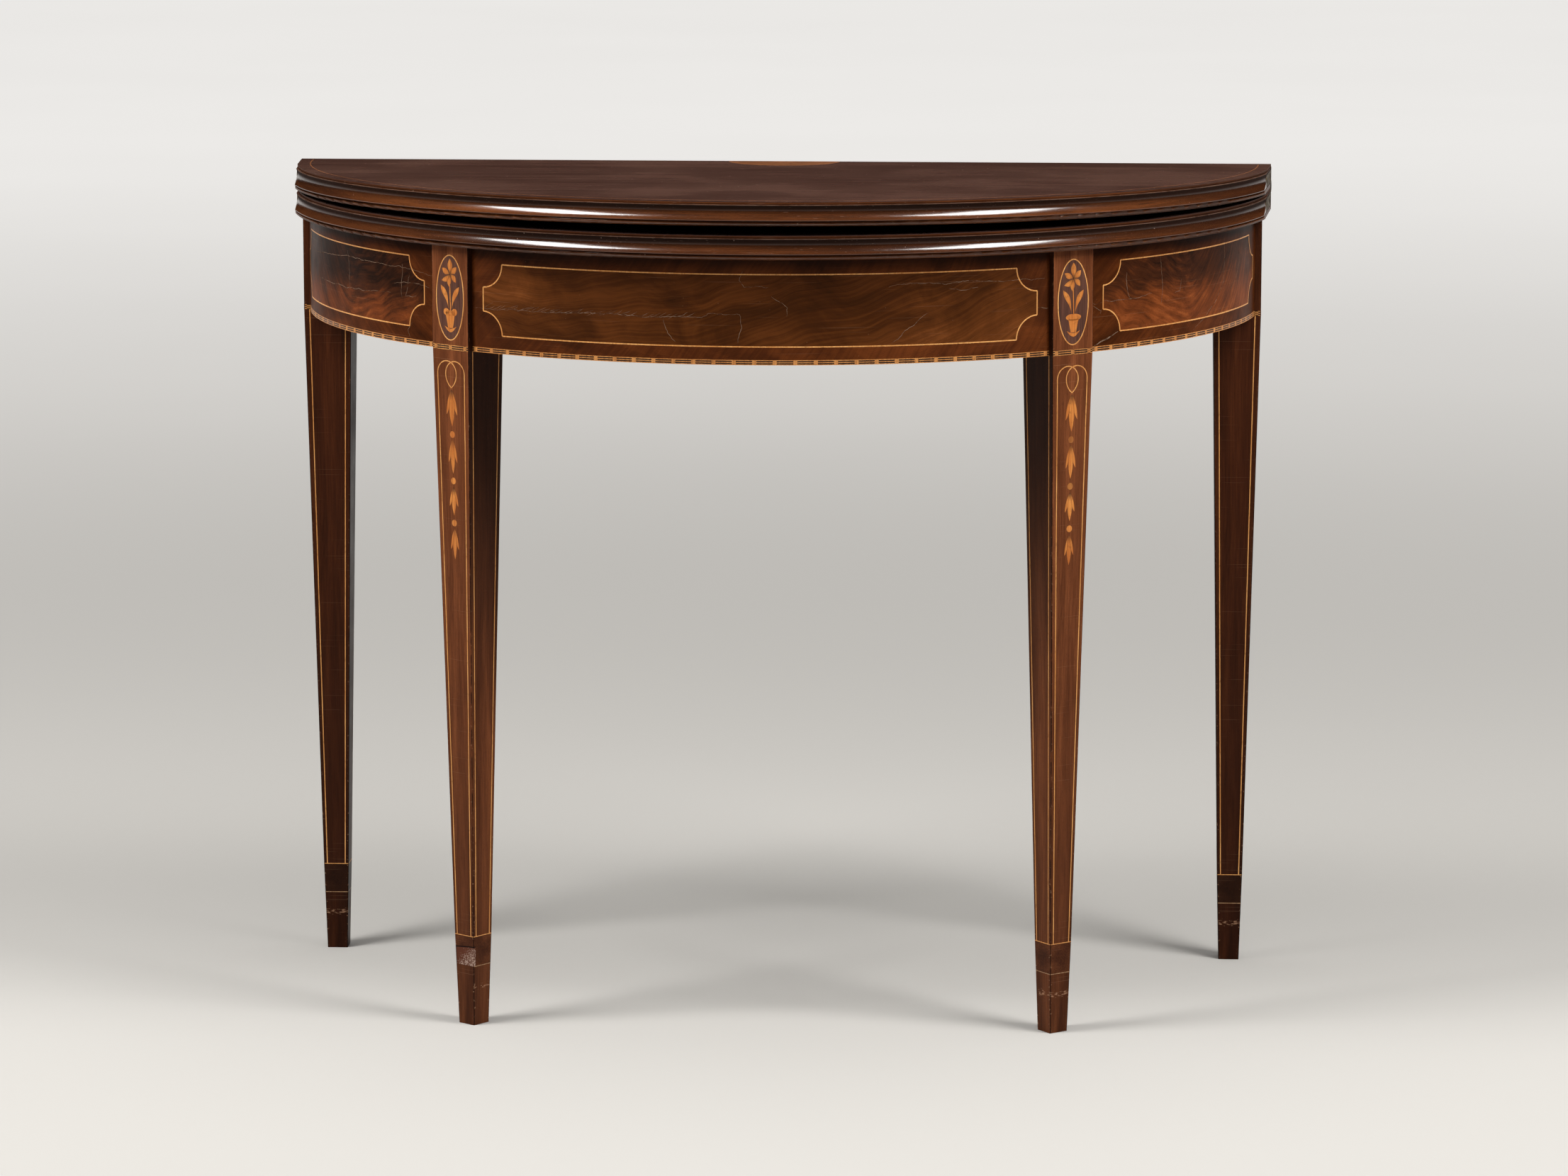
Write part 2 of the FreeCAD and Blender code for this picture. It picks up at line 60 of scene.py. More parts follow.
# %% Measure the frame
leaf_low, leaf_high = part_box("lower_leaf")
BACK_EDGE = leaf_high.y
LEAF_RADIUS = BACK_EDGE - leaf_low.y
LEAF_THICKNESS = leaf_high.z - leaf_low.z
veneer_low, veneer_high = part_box("frieze_veneer_centre")
FRIEZE_RADIUS = BACK_EDGE - veneer_low.y
FRIEZE_TOP = veneer_high.z
band_low, band_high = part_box("frieze_banding_centre")
FRIEZE_BOTTOM = band_low.z
BAND_HEIGHT = band_high.z - band_low.z
oval_low, oval_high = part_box("oval_panel_right")
OVAL_HEIGHT = oval_high.z - oval_low.z
OVAL_MIDDLE = (oval_high.z + oval_low.z) / 2
OVAL_WIDTH = 0.034

LEG_BLOCK = 0.044
LEG_CUFF_SIZE = 0.0235
LEG_CUFF_HEIGHT = 0.082
LEG_FOOT_SIZE = 0.019

fold = next(joint for joint in frame["joints"] if joint["name"] == "leaf_fold")
FOLD_LINE = Vector(fold["pos_m"])
LEAF_LIFT = math.radians(1.03)
UPPER_TOP = 2 * FOLD_LINE.z - leaf_high.z + LEAF_THICKNESS
print("leaf radius", round(LEAF_RADIUS, 4), "frieze radius", round(FRIEZE_RADIUS, 4))

# %% [markdown]
# The camera stands a little to the right of the middle and just above the height of a seated viewer,
# more than five metres away, with a long lens that keeps the legs nearly parallel.

# %% Camera
CAMERA_PLACE = (0.31806, -5.19053, 1.26372)
CAMERA_DIP = 0.1683
CAMERA_SWING = 0.0587
CAMERA_LENS = 133.72
SENSOR_WIDTH = 36.0


def add_object(name, data):
    item = bpy.data.objects.new(name, data)
    bpy.context.scene.collection.objects.link(item)
    return item


camera_data = bpy.data.cameras.new("camera")
camera_data.lens = CAMERA_LENS
camera_data.sensor_width = SENSOR_WIDTH
camera = add_object("camera", camera_data)
camera.location = CAMERA_PLACE
camera.rotation_euler = (math.pi / 2 - CAMERA_DIP, 0, CAMERA_SWING)
bpy.context.scene.camera = camera
bpy.context.scene.view_settings.view_transform = "Standard"
print("camera at", CAMERA_PLACE, "lens", CAMERA_LENS)

# %% [markdown]
# Colours are written as a paint chart gives them, from 0 to 255, and turned into the linear values that
# Blender mixes. The helpers after it add a shader node or two each to the node tree on the bench, which is
# the one that was started last, so that a material reads as a short recipe. An input of a node is either
# a plain value or the output of another node.

# %% Colours and nodes
bench = SimpleNamespace(tree=None)


def tone(red, green, blue):
    """A chart colour as linear red, green, blue and a full alpha."""
    shares = [value / 255 for value in (red, green, blue)]
    return tuple(s / 12.92 if s <= 0.04045 else ((s + 0.055) / 1.055) ** 2.4 for s in shares) + (1.0,)


def add_node(kind, inputs, **settings):
    node = bench.tree.nodes.new("ShaderNode" + kind)
    for name, value in settings.items():
        setattr(node, name, value)
    for name, value in inputs.items():
        if isinstance(value, bpy.types.NodeSocket):
            bench.tree.links.new(value, node.inputs[name])
        else:
            node.inputs[name].default_value = value
    return node


print("mahogany brown in linear values:", [round(value, 3) for value in tone(72, 37, 16)])

# %% Sums
def sum_up(operation, first, second=0.0, clamp=False):
    inputs = {0: first, 1: second}
    return add_node("Math", inputs, operation=operation, use_clamp=clamp).outputs[0]


def chain(operation, values):
    total = values[0]
    for value in values[1:]:
        total = sum_up(operation, total, value)
    return total


def plus(*values):
    return chain("ADD", values)


def times(*values):
    return chain("MULTIPLY", values)


def most(*values):
    return chain("MAXIMUM", values)


def least(*values):
    return chain("MINIMUM", values)


def less(first, second, clamp=False):
    return sum_up("SUBTRACT", first, second, clamp)


def unsigned(value):
    return sum_up("ABSOLUTE", value)


def apart(first, second):
    """How far two values lie apart."""
    return unsigned(less(first, second))


def span(first, second):
    """The long side of a right-angled triangle with these two short sides."""
    squares = plus(sum_up("POWER", first, 2.0), sum_up("POWER", second, 2.0))
    return sum_up("SQRT", squares)


def blend(first, second, share):
    """Two values added, with this share of the second."""
    return plus(times(first, 1 - share), times(second, share))


print("sums ready")

# %% Places, patterns and colours
def split(vector):
    return add_node("SeparateXYZ", {0: vector}).outputs


def join(x, y, z):
    return add_node("CombineXYZ", {0: x, 1: y, 2: z}).outputs[0]


def push(vector, x, y, z):
    return add_node("VectorMath", {0: vector, 1: join(x, y, z)}).outputs[0]


def stretch(vector, scale, turn=(0, 0, 0)):
    return add_node("Mapping", {"Vector": vector, "Scale": scale, "Rotation": turn}).outputs[0]


def noise(vector, scale, detail=2.0, roughness=0.5, distortion=0.0):
    """A noise from 0 to 1. With a scale for each axis it is streaky."""
    if isinstance(scale, tuple):
        vector, scale = stretch(vector, scale), 1.0
    inputs = {"Vector": vector, "Scale": scale, "Detail": detail, "Roughness": roughness}
    return add_node("TexNoise", {**inputs, "Distortion": distortion}).outputs["Fac"]


def fade(value, low, high, start=0.0, end=1.0, kind="SMOOTHSTEP"):
    """Goes softly from start to end while the value goes from low to high."""
    inputs = {"Value": value, "From Min": low, "From Max": high, "To Min": start, "To Max": end}
    return add_node("MapRange", inputs, interpolation_type=kind).outputs["Result"]


def slope(value, low, high, start=0.0, end=1.0):
    """Goes straight from start to end while the value goes from low to high."""
    return fade(value, low, high, start, end, "LINEAR")


def mix(share, first, second):
    return add_node("Mix", {0: share, 6: first, 7: second}, data_type="RGBA").outputs[2]


def mix_places(share, first, second):
    return add_node("Mix", {0: share, 4: first, 5: second}, data_type="VECTOR").outputs[1]


def shades(value, *stops):
    """A colour ramp; each stop is a place from 0 to 1 and a colour."""
    node = add_node("ValToRGB", {"Fac": value})
    elements = node.color_ramp.elements
    while len(elements) < len(stops):
        elements.new(0.5)
    for element, (place, colour) in zip(elements, stops):
        element.position = place
        element.color = colour
    return node.outputs["Color"]


def bump(height, strength, distance):
    inputs = {"Height": height, "Strength": strength, "Distance": distance}
    return add_node("Bump", inputs).outputs[0]


print("shader helpers ready")

# %% [markdown]
# Several finishes share the same effects, so each effect is a node group with named sockets, built once.
# The first three: mahogany's straight grain (broad bands, fine fibre, short dark pores), the clouded
# flame figure of the frieze veneer, and the wear that polish gathers (fine scratches, specks, dull
# patches).

# %% Start, end and use a node group
def start_group(name, inputs, outputs):
    group = bpy.data.node_groups.new(name, "ShaderNodeTree")
    for way, labels in (("INPUT", inputs), ("OUTPUT", outputs)):
        for label in labels:
            kind = "NodeSocketVector" if label == "Vector" else "NodeSocketFloat"
            group.interface.new_socket(label, in_out=way, socket_type=kind)
    bench.tree = group
    entry, leave = group.nodes.new("NodeGroupInput"), group.nodes.new("NodeGroupOutput")
    return entry.outputs, leave.inputs


def end_group(result, outputs):
    group = bench.tree
    for label, value in outputs.items():
        group.links.new(value, result[label])
    print("group", group.name, len(group.nodes), "nodes")
    return group


def use_group(group, **inputs):
    named = {name.replace("_", " "): value for name, value in inputs.items()}
    return add_node("Group", named, node_tree=group).outputs


print("node groups can be built")

# %% Straight mahogany grain, running along X of the vector it is given
given, result = start_group("straight_grain", ["Vector"], ["Band", "Fibre", "Pore"])
waver = times(noise(given["Vector"], (5, 9, 9)), 0.010)
along = push(given["Vector"], 0.0, waver, waver)
dashes = noise(along, (240, 3400, 3400), 1.0)
straight_grain = end_group(result, {
    "Band": noise(along, (3.5, 75, 75), 3.0),
    "Fibre": noise(along, (22, 620, 620), 3.0, 0.6),
    "Pore": fade(dashes, 0.60, 0.72),
})

# %% Flame figure, for a veneer whose X runs along it and whose Z runs up
centred = ["Vector", "Centre Along", "Centre Up"]
given, result = start_group("flame_figure", centred, ["Cloud", "Streak", "Pore"])
drift = times(less(noise(given["Vector"], 9.0), 0.5), 0.06)
swirl = push(given["Vector"], drift, 0.0, drift)
x, y, z = split(swirl)
away, rise = less(x, given["Centre Along"]), less(z, given["Centre Up"])
sweep = times(sum_up("ARCTAN2", rise, away), 0.1)
curl = join(sweep, 0.0, span(away, rise))
dashes = noise(curl, (420, 1, 2400), 1.0)
flame_figure = end_group(result, {
    "Cloud": noise(swirl, (11, 1, 20), 6.0, 0.62, 0.6),
    "Streak": noise(curl, (30, 1, 260), 5.0, 0.68),
    "Pore": fade(dashes, 0.58, 0.72),
})

# %% Wear of a polished surface
given, result = start_group("polish_wear", ["Vector"], ["Scratch", "Speck", "Dull"])
lines = []
for turn, spread in ((0.35, 1.0), (-0.8, 1.4)):
    path = stretch(given["Vector"], (9 * spread, 1500, 1500), (0.2, turn, turn))
    lines.append(fade(noise(path, 1.0, 1.0), 0.73, 0.78))
squat = stretch(given["Vector"], (1, 0.35, 1))
cells = add_node("TexVoronoi", {"Vector": squat, "Scale": 130.0}).outputs
near = fade(cells["Distance"], 0.03, 0.08, 1.0, 0.0)
chosen = fade(split(cells["Color"])[0], 0.58, 0.66)
polish_wear = end_group(result, {
    "Scratch": most(*lines),
    "Speck": times(near, chosen),
    "Dull": noise(given["Vector"], 17.0, 4.0, 0.6),
})

# %% [markdown]
# The frieze is a curved board, so its veneer pattern has to follow the bend. This group unrolls it: the
# angle round the upright line times the radius gives the distance along the board. The same group serves
# the moulded edge of the leaves, whose grain also runs round the bow.

# %% Unroll a curved board
given, result = start_group("unroll", ["Vector", "Radius"], ["Vector", "Along", "Reach", "Up"])
x, y, z = split(given["Vector"])
forward = less(BACK_EDGE, y)
along = times(sum_up("ARCTAN2", x, forward), given["Radius"])
reach = span(x, forward)
unrolled = {"Vector": join(along, reach, z), "Along": along, "Reach": reach, "Up": z}
unroll = end_group(result, unrolled)

# %% [markdown]
# Each frieze veneer is two things: a panel of flame veneer and, outside its string line, a border of
# plainer wood. The panel is a rectangle with hollow quarter-round corners, so the mask is the rectangle
# less a disc about each corner.

# %% Panel shape
PANEL_TOP = 0.6903
PANEL_BOTTOM = 0.6276
PANEL_HOLLOW = 0.0208
CENTRE_PANEL_END = math.radians(33.2) * FRIEZE_RADIUS
SIDE_PANEL_START = math.radians(42.6) * FRIEZE_RADIUS
SIDE_PANEL_END = math.radians(79.7) * FRIEZE_RADIUS
PANEL_MIDDLE = (PANEL_TOP + PANEL_BOTTOM) / 2
PANEL_SOFTNESS = 0.0004

given, result = start_group("panel_shape", ["Along", "Up", "Middle", "Half"], ["Mask"])
side_gap = less(given["Half"], apart(given["Along"], given["Middle"]))
high_gap = less((PANEL_TOP - PANEL_BOTTOM) / 2, apart(given["Up"], PANEL_MIDDLE))
corner_gap = less(span(side_gap, high_gap), PANEL_HOLLOW)
gap = least(side_gap, high_gap, corner_gap)
panel_shape = end_group(result, {"Mask": fade(gap, -PANEL_SOFTNESS, PANEL_SOFTNESS)})

# %% [markdown]
# A material starts with the Principled shader and the values that are the same all over it. Where gloss
# differs from place to place, as on the leaves, it is carried by the coat, because the coat's weight may
# vary over a surface and the specular level may not.

# %% Start a material, feed it and put it on
FRESH, WORN = 0.3, 0.7


def start_material(name, values):
    material = bpy.data.materials.new(name)
    material.use_nodes = True
    bench.tree = material.node_tree
    shader = bench.tree.nodes["Principled BSDF"]
    for socket, value in values.items():
        shader.inputs[socket].default_value = value
    place = add_node("TexCoord", {}).outputs["Object"]
    return material, shader, place


def feed(shader, **sockets):
    for name, value in sockets.items():
        bench.tree.links.new(value, shader.inputs[name.replace("_", " ")])


def dress(names, material):
    for name in names:
        slots = nodes[name].material_slots
        slots[0].material = material
    print(material.name, "on", len(names), "pieces")


def by_wear(wear, fresh, worn):
    """A value that goes from fresh to worn as the polish dulls."""
    return slope(wear["Dull"], FRESH, WORN, fresh, worn)


def open_grain(grain):
    """The relief of fibre with sunk pores."""
    return less(grain["Fibre"], times(grain["Pore"], 0.8))


print("materials can be made for", len(nodes), "pieces")

# %% [markdown]
# The leaves. Their flat top is veneer with the grain from side to side, ringed by a band of cross grain,
# and their edge is a solid moulding: a thin lip, a ledge, a cove that flares out to a rim, and a bead.
# The top is worn dull and specked; the moulding is kept bright by hands and cloths. Its inner corners and
# the upper part of its cove are darkened with wax and with painted shade, it is darker and greyer at the
# two ends, and pale painted highlight lines run along the ledge and the bead. Depth below the top face and
# distance from the middle tell the parts apart, and the straight back edge is left plain. The upper leaf's
# inner face is polished, because it becomes the top when the leaf is opened, and the lower leaf's
# underside is bare. The upper leaf lies a degree open, so its places are turned back about the hinge line
# first.

# %% Parts of a leaf
EDGE_BAND = 0.017
BAND_EDGE = LEAF_RADIUS - EDGE_BAND
BAND_SOFTNESS = 0.0002
TOP_SKIN = (0.0002, 0.0006)
UNDERSIDE_SKIN = 0.0004
UNDERSIDE_EDGE = (LEAF_RADIUS - 0.007, LEAF_RADIUS - 0.006)
BACK_SKIN = (BACK_EDGE - 0.0008, BACK_EDGE - 0.0003)


def leaf_places(place, top, lift, polished_under):
    """A leaf's places with its lift undone, and masks of its parts."""
    shift = FOLD_LINE - Matrix.Rotation(lift, 3, "X") @ FOLD_LINE
    undo = {"Vector": place, "Location": shift, "Rotation": (lift, 0, 0)}
    flat = add_node("Mapping", undo).outputs[0]
    bow = use_group(unroll, Vector=flat, Radius=LEAF_RADIUS)
    depth = less(top, bow["Up"])
    low = fade(depth, LEAF_THICKNESS - UNDERSIDE_SKIN, LEAF_THICKNESS - UNDERSIDE_SKIN / 2)
    under = times(low, fade(bow["Reach"], *UNDERSIDE_EDGE, 1.0, 0.0))
    on_edge = fade(depth, *TOP_SKIN)
    if polished_under:
        on_edge = less(on_edge, under, clamp=True)
    at_back = fade(split(flat)[1], *BACK_SKIN)
    moulded = less(on_edge, at_back, clamp=True)
    return SimpleNamespace(flat=flat, bow=bow, depth=depth, under=under, on_edge=on_edge, moulded=moulded)


def leaf_grain(at):
    """Grain from side to side on the flats, across in the band, and round the bow on the moulding."""
    on_band = fade(at.bow["Reach"], BAND_EDGE - BAND_SOFTNESS, BAND_EDGE + BAND_SOFTNESS)
    across = join(at.bow["Reach"], at.bow["Along"], at.bow["Up"])
    place = mix_places(on_band, at.flat, across)
    place = mix_places(at.moulded, place, at.bow["Vector"])
    place = mix_places(at.under, place, at.flat)
    return use_group(straight_grain, Vector=place)


print("cross grain outside a radius of", round(BAND_EDGE, 4))

# %% Moulding of a leaf
LIP_DEPTH = 0.0025
COVE_START = 0.0031
DARK_COVE = (COVE_START + 0.002, COVE_START + 0.010)
WAXED_COVE = (COVE_START + 0.0024, COVE_START + 0.0070)
QUIRK_DEPTH = 0.0164
WAXED_QUIRK = (QUIRK_DEPTH - 0.001, QUIRK_DEPTH)
GROOVE_HALF = 0.0005
LEDGE_DEPTH = (LIP_DEPTH + COVE_START) / 2
LEDGE_HIGHLIGHT = (0.0002, 0.0005)
BEAD_DEPTH = 0.0190
BEAD_HIGHLIGHT = (0.0002, 0.0007)
DARKER_ENDS = (LEAF_RADIUS * 0.65, LEAF_RADIUS * 1.1)
MOULDING_TONES = ((0.30, tone(42, 20, 8)), (0.50, tone(72, 37, 16)), (0.70, tone(102, 56, 27)))


def moulding_wood(at, figure):
    """Brown wood, dark with wax and painted shade deep in the cove, and darker and greyer at the two ends."""
    colour = shades(figure, *MOULDING_TONES)
    # The cove's upper part is darkened partly for wax and partly as painted shade under the lip.
    hollow = fade(at.depth, *DARK_COVE, 0.95, 0.0)
    below_lip = times(fade(at.depth, LIP_DEPTH, COVE_START), at.moulded)
    colour = mix(times(hollow, below_lip), colour, tone(22, 9, 4))
    darker_ends = fade(unsigned(at.bow["Along"]), *DARKER_ENDS, 0.0, 0.45)
    return mix(darker_ends, colour, tone(34, 19, 14))


def line_at(at, level, core, edge, full=1.0):
    """A soft line at one depth below the top face."""
    return fade(apart(at.depth, level), core, edge, full, 0.0)


# Dark lines at the foot of the lip and at the quirk: wax, and painted shade in the creases.
def wax_and_shade_grooves(at):
    levels = (LIP_DEPTH - GROOVE_HALF, QUIRK_DEPTH)
    lines = [line_at(at, level, GROOVE_HALF * 0.4, GROOVE_HALF) for level in levels]
    return times(most(*lines), at.moulded)


def painted_edge_highlights(at):
    """Pale painted highlight lines along the ledge and the bead, broken into patches."""
    ledge = line_at(at, LEDGE_DEPTH, *LEDGE_HIGHLIGHT)
    bead = line_at(at, BEAD_DEPTH, *BEAD_HIGHLIGHT, 0.7)
    patches = fade(noise(at.bow["Vector"], 60.0, 5.0, 0.75), 0.26, 0.62)
    return times(patches, most(ledge, bead), at.moulded)


def leaf_gloss(at, wear, dull):
    """The coat: thin on the worn top, full on the moulding, less where wax is left."""
    cove = fade(at.depth, *WAXED_COVE, 0.06, 1.0)
    quirk = fade(at.depth, *WAXED_QUIRK, 1.0, 0.35)
    edge_coat = times(by_wear(wear, 1.0, 0.75), times(cove, quirk))
    top_coat = by_wear(wear, 0.19, 0.09)
    gloss = add_node("Mix", {0: at.moulded, 2: top_coat, 3: edge_coat}).outputs[0]
    return times(gloss, less(1.0, dull, clamp=True))


print("moulding: lip", LIP_DEPTH, "cove from", COVE_START, "quirk at", QUIRK_DEPTH)

# %% Leaf finish
LEAF_POLISH = {"Specular IOR Level": 0.0, "Roughness": 0.6, "Coat Roughness": 0.17, "Coat IOR": 1.75}
TOP_TONES = ((0.30, tone(42, 26, 21)), (0.50, tone(53, 35, 29)), (0.70, tone(63, 43, 36)))
UNDERSIDE_TONES = ((0.30, tone(56, 33, 19)), (0.50, tone(74, 46, 28)), (0.70, tone(92, 60, 38)))


def leaf_finish(name, top, lift, polished_under):
    material, shader, place = start_material(name, LEAF_POLISH)
    at = leaf_places(place, top, lift, polished_under)
    grain = leaf_grain(at)
    wear = use_group(polish_wear, Vector=at.flat)
    figure = blend(grain["Band"], grain["Fibre"], 0.38)
    clouds = fade(noise(at.flat, 7.0, 3.0), 0.42, 0.66, 0.0, 0.4)
    veneer = mix(clouds, shades(figure, *TOP_TONES), tone(78, 55, 46))
    colour = mix(at.on_edge, veneer, moulding_wood(at, figure))
    waxed_shaded_grooves = wax_and_shade_grooves(at)
    # Wax and painted shade in the grooves.
    colour = mix(times(waxed_shaded_grooves, 0.7), colour, tone(16, 8, 4))
    # Pale painted highlight along the ledge and the bead.
    colour = mix(times(painted_edge_highlights(at), 0.36), colour, tone(124, 102, 90))
    colour = mix(times(grain["Pore"], 0.4), colour, tone(24, 11, 6))
    marks = most(times(wear["Scratch"], 0.15), times(wear["Speck"], 0.32))
    colour = mix(marks, colour, tone(176, 150, 134))
    dull = waxed_shaded_grooves
    if not polished_under:
        colour = mix(at.under, colour, shades(figure, *UNDERSIDE_TONES))
        dull = most(waxed_shaded_grooves, at.under)
    gloss = leaf_gloss(at, wear, dull)
    relief = bump(open_grain(grain), 0.10, 0.0002)
    feed(shader, Base_Color=colour, Coat_Weight=gloss, Normal=relief)
    return material


dress(["lower_leaf"], leaf_finish("lower_leaf_polish", leaf_high.z, 0.0, False))
dress(["upper_leaf"], leaf_finish("upper_leaf_polish", UPPER_TOP, LEAF_LIFT, True))

# %% [markdown]
# The frieze veneers. The centre panel is a quiet brown that lightens towards its ends. The side panels
# come from neighbouring leaves of one log, laid as mirror images: an orange flame sweeps up from the
# front legs in arcs, under dark clouds. So the flame group is given the middle of those arcs, and the
# side panels use the distance from the table's front, the same for left and right.

# %% Frieze finish
BORDER_TONES = ((0.34, tone(40, 17, 4)), (0.50, tone(67, 31, 10)), (0.66, tone(98, 49, 19)))
BORDER_ARC_SHIFT, BORDER_ARC_UP = -0.5, 1.2
LEFT_SHIFT = 0.02


def frieze_finish(name, middle, half, mirrored, arcs, panel_tones, light):
    material, shader, place = start_material(name, {"Specular IOR Level": 0.02 if mirrored else 0.05})
    board = use_group(unroll, Vector=place, Radius=FRIEZE_RADIUS)
    along, up = board["Along"], board["Up"]
    inside = use_group(panel_shape, Along=along, Up=up, Middle=middle, Half=half)["Mask"]
    from_front = unsigned(along) if mirrored else along
    log = join(from_front, LEFT_SHIFT if middle < 0 else 0.0, up)
    flame = use_group(flame_figure, Vector=log, Centre_Along=arcs[0], Centre_Up=arcs[1])
    edge_along = arcs[0] + BORDER_ARC_SHIFT
    edging = use_group(flame_figure, Vector=log, Centre_Along=edge_along, Centre_Up=BORDER_ARC_UP)
    figure = blend(flame["Cloud"], flame["Streak"], 0.52 if mirrored else 0.38)
    figure = plus(figure, fade(up if mirrored else unsigned(along), *light))
    edge_figure = blend(edging["Cloud"], edging["Streak"], 0.32)
    border = shades(edge_figure, *BORDER_TONES)
    colour = mix(inside, border, shades(figure, *panel_tones))
    wear = use_group(polish_wear, Vector=log)
    colour = mix(times(flame["Pore"], 0.4), colour, tone(22, 9, 3))
    marks = times(most(wear["Scratch"], wear["Speck"]), 0.12)
    colour = mix(marks, colour, tone(170, 130, 100))
    # Painted shadow of the leaf's overhang along the top of the frieze.
    painted_shadow_under_leaf = fade(up, PANEL_TOP + 0.001, FRIEZE_TOP - 0.002, 0.0, 0.7)
    colour = mix(painted_shadow_under_leaf, colour, tone(14, 6, 3))
    rough = by_wear(wear, 0.30, 0.44)
    feed(shader, Base_Color=colour, Roughness=rough, Normal=bump(flame["Streak"], 0.10, 0.0003))
    return material


# %% Three frieze panels
# The centre lightens from its middle to its ends, and the sides darken upwards, the left one from lower down.
CENTRE_LIGHT = (0.08, CENTRE_PANEL_END, -0.02, 0.07)
LEFT_LIGHT = (PANEL_BOTTOM + 0.004, PANEL_TOP - 0.020, 0.06, -0.16)
RIGHT_LIGHT = (PANEL_BOTTOM + 0.008, PANEL_TOP - 0.008, 0.10, -0.10)
CENTRE_TONES = (
    (0.30, tone(31, 14, 3)), (0.46, tone(60, 29, 7)), (0.60, tone(86, 45, 16)), (0.74, tone(118, 66, 29)),
)
SIDE_TONES = (
    (0.30, tone(28, 13, 6)), (0.44, tone(59, 29, 13)), (0.58, tone(101, 50, 22)), (0.74, tone(145, 78, 37)),
)
CENTRE_ARCS = (-0.3, 2.0)
SIDE_ARCS = (0.42, 0.745)
side_middle = (SIDE_PANEL_START + SIDE_PANEL_END) / 2
side_half = (SIDE_PANEL_END - SIDE_PANEL_START) / 2
for node, middle, half, arcs, tones, light in (
    ("frieze_veneer_centre", 0.0, CENTRE_PANEL_END, CENTRE_ARCS, CENTRE_TONES, CENTRE_LIGHT),
    ("frieze_veneer_left", -side_middle, side_half, SIDE_ARCS, SIDE_TONES, LEFT_LIGHT),
    ("frieze_veneer_right", side_middle, side_half, SIDE_ARCS, SIDE_TONES, RIGHT_LIGHT),
):
    dress([node], frieze_finish(node + "_polish", middle, half, middle != 0, arcs, tones, light))

# %% [markdown]
# The legs. Their faces are veneered straight-grained mahogany, and where two faces meet the corner shows
# a dark joint with pale worn flecks. The inner sides are painted nearly black under the frieze, as painted
# shade from the top, and all faces are painted darker towards the floor. The rear legs are coloured darker
# than the front ones, as painted shade at the back of the table. Below the upper string the cuff is cross
# grain, and the foot is scuffed by shoes and brooms at one height. The front of one cuff has lost its
# veneer and shows bare wood and old glue. Each leg stands at its own place and turn, so each has its own
# material: a Mapping node of the texture kind carries the leg's place back to the origin and squares it up.

# %% Leg places
class Leg:
    """Where a leg stands, how it is turned, and how wide it is at a height."""

    def __init__(self, node, body, outer):
        low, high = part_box(node)
        self.node, self.body, self.outer = node, body, outer
        self.x, self.y = (low.x + high.x) / 2, (low.y + high.y) / 2
        front = body == "frame"
        self.turn = math.atan2(self.x, BACK_EDGE - self.y) if front else 0.0

    @staticmethod
    def half(z):
        if z >= FRIEZE_BOTTOM:
            return LEG_BLOCK / 2
        if z >= LEG_CUFF_HEIGHT:
            share = (z - LEG_CUFF_HEIGHT) / (FRIEZE_BOTTOM - LEG_CUFF_HEIGHT)
            return (LEG_CUFF_SIZE + share * (LEG_BLOCK - LEG_CUFF_SIZE)) / 2
        return (LEG_FOOT_SIZE + z / LEG_CUFF_HEIGHT * (LEG_CUFF_SIZE - LEG_FOOT_SIZE)) / 2

    def face(self, side):
        """How a drawing lies on a face: side 0 is the front, 1 the right, 2 the back, 3 the left."""
        angle = self.turn + side * math.pi / 2
        out = Vector((math.sin(angle), -math.cos(angle), 0))
        right = Vector((math.cos(angle), math.sin(angle), 0))

        def lay(u, v, w):
            return Vector((self.x, self.y, v)) + out * (self.half(v) + w) + right * u

        return lay


legs = {
    "front_left": Leg("front_leg_left", "frame", 3),
    "front_right": Leg("front_leg_right", "frame", 1),
    "rear_left": Leg("left_rear_leg", "left_gate", 3),
    "rear_right": Leg("right_rear_leg", "right_gate", 1),
}
for name, leg in legs.items():
    print(name, "leg at", round(leg.x, 4), round(leg.y, 4), "turned", round(math.degrees(leg.turn), 2))

# %% Wood of a leg
LOWER_STRING = 0.0545
CUFF_SOFTNESS = 0.0003
FACE_SKIN = (-0.0007, -0.0003)
# The rear tones are darker than the front ones: painted shade at the back of the table.
FRONT_LEG_TONES = ((0.32, tone(70, 34, 15)), (0.50, tone(104, 57, 31)), (0.68, tone(134, 77, 44)))
SHADED_REAR_LEG_TONES = ((0.32, tone(40, 17, 6)), (0.50, tone(62, 29, 12)), (0.68, tone(82, 42, 20)))
FRONT_CUFF_TONES = ((0.32, tone(60, 30, 15)), (0.50, tone(94, 51, 28)), (0.68, tone(126, 73, 42)))
SHADED_REAR_CUFF_TONES = ((0.32, tone(34, 17, 8)), (0.50, tone(50, 26, 13)), (0.68, tone(66, 37, 20)))


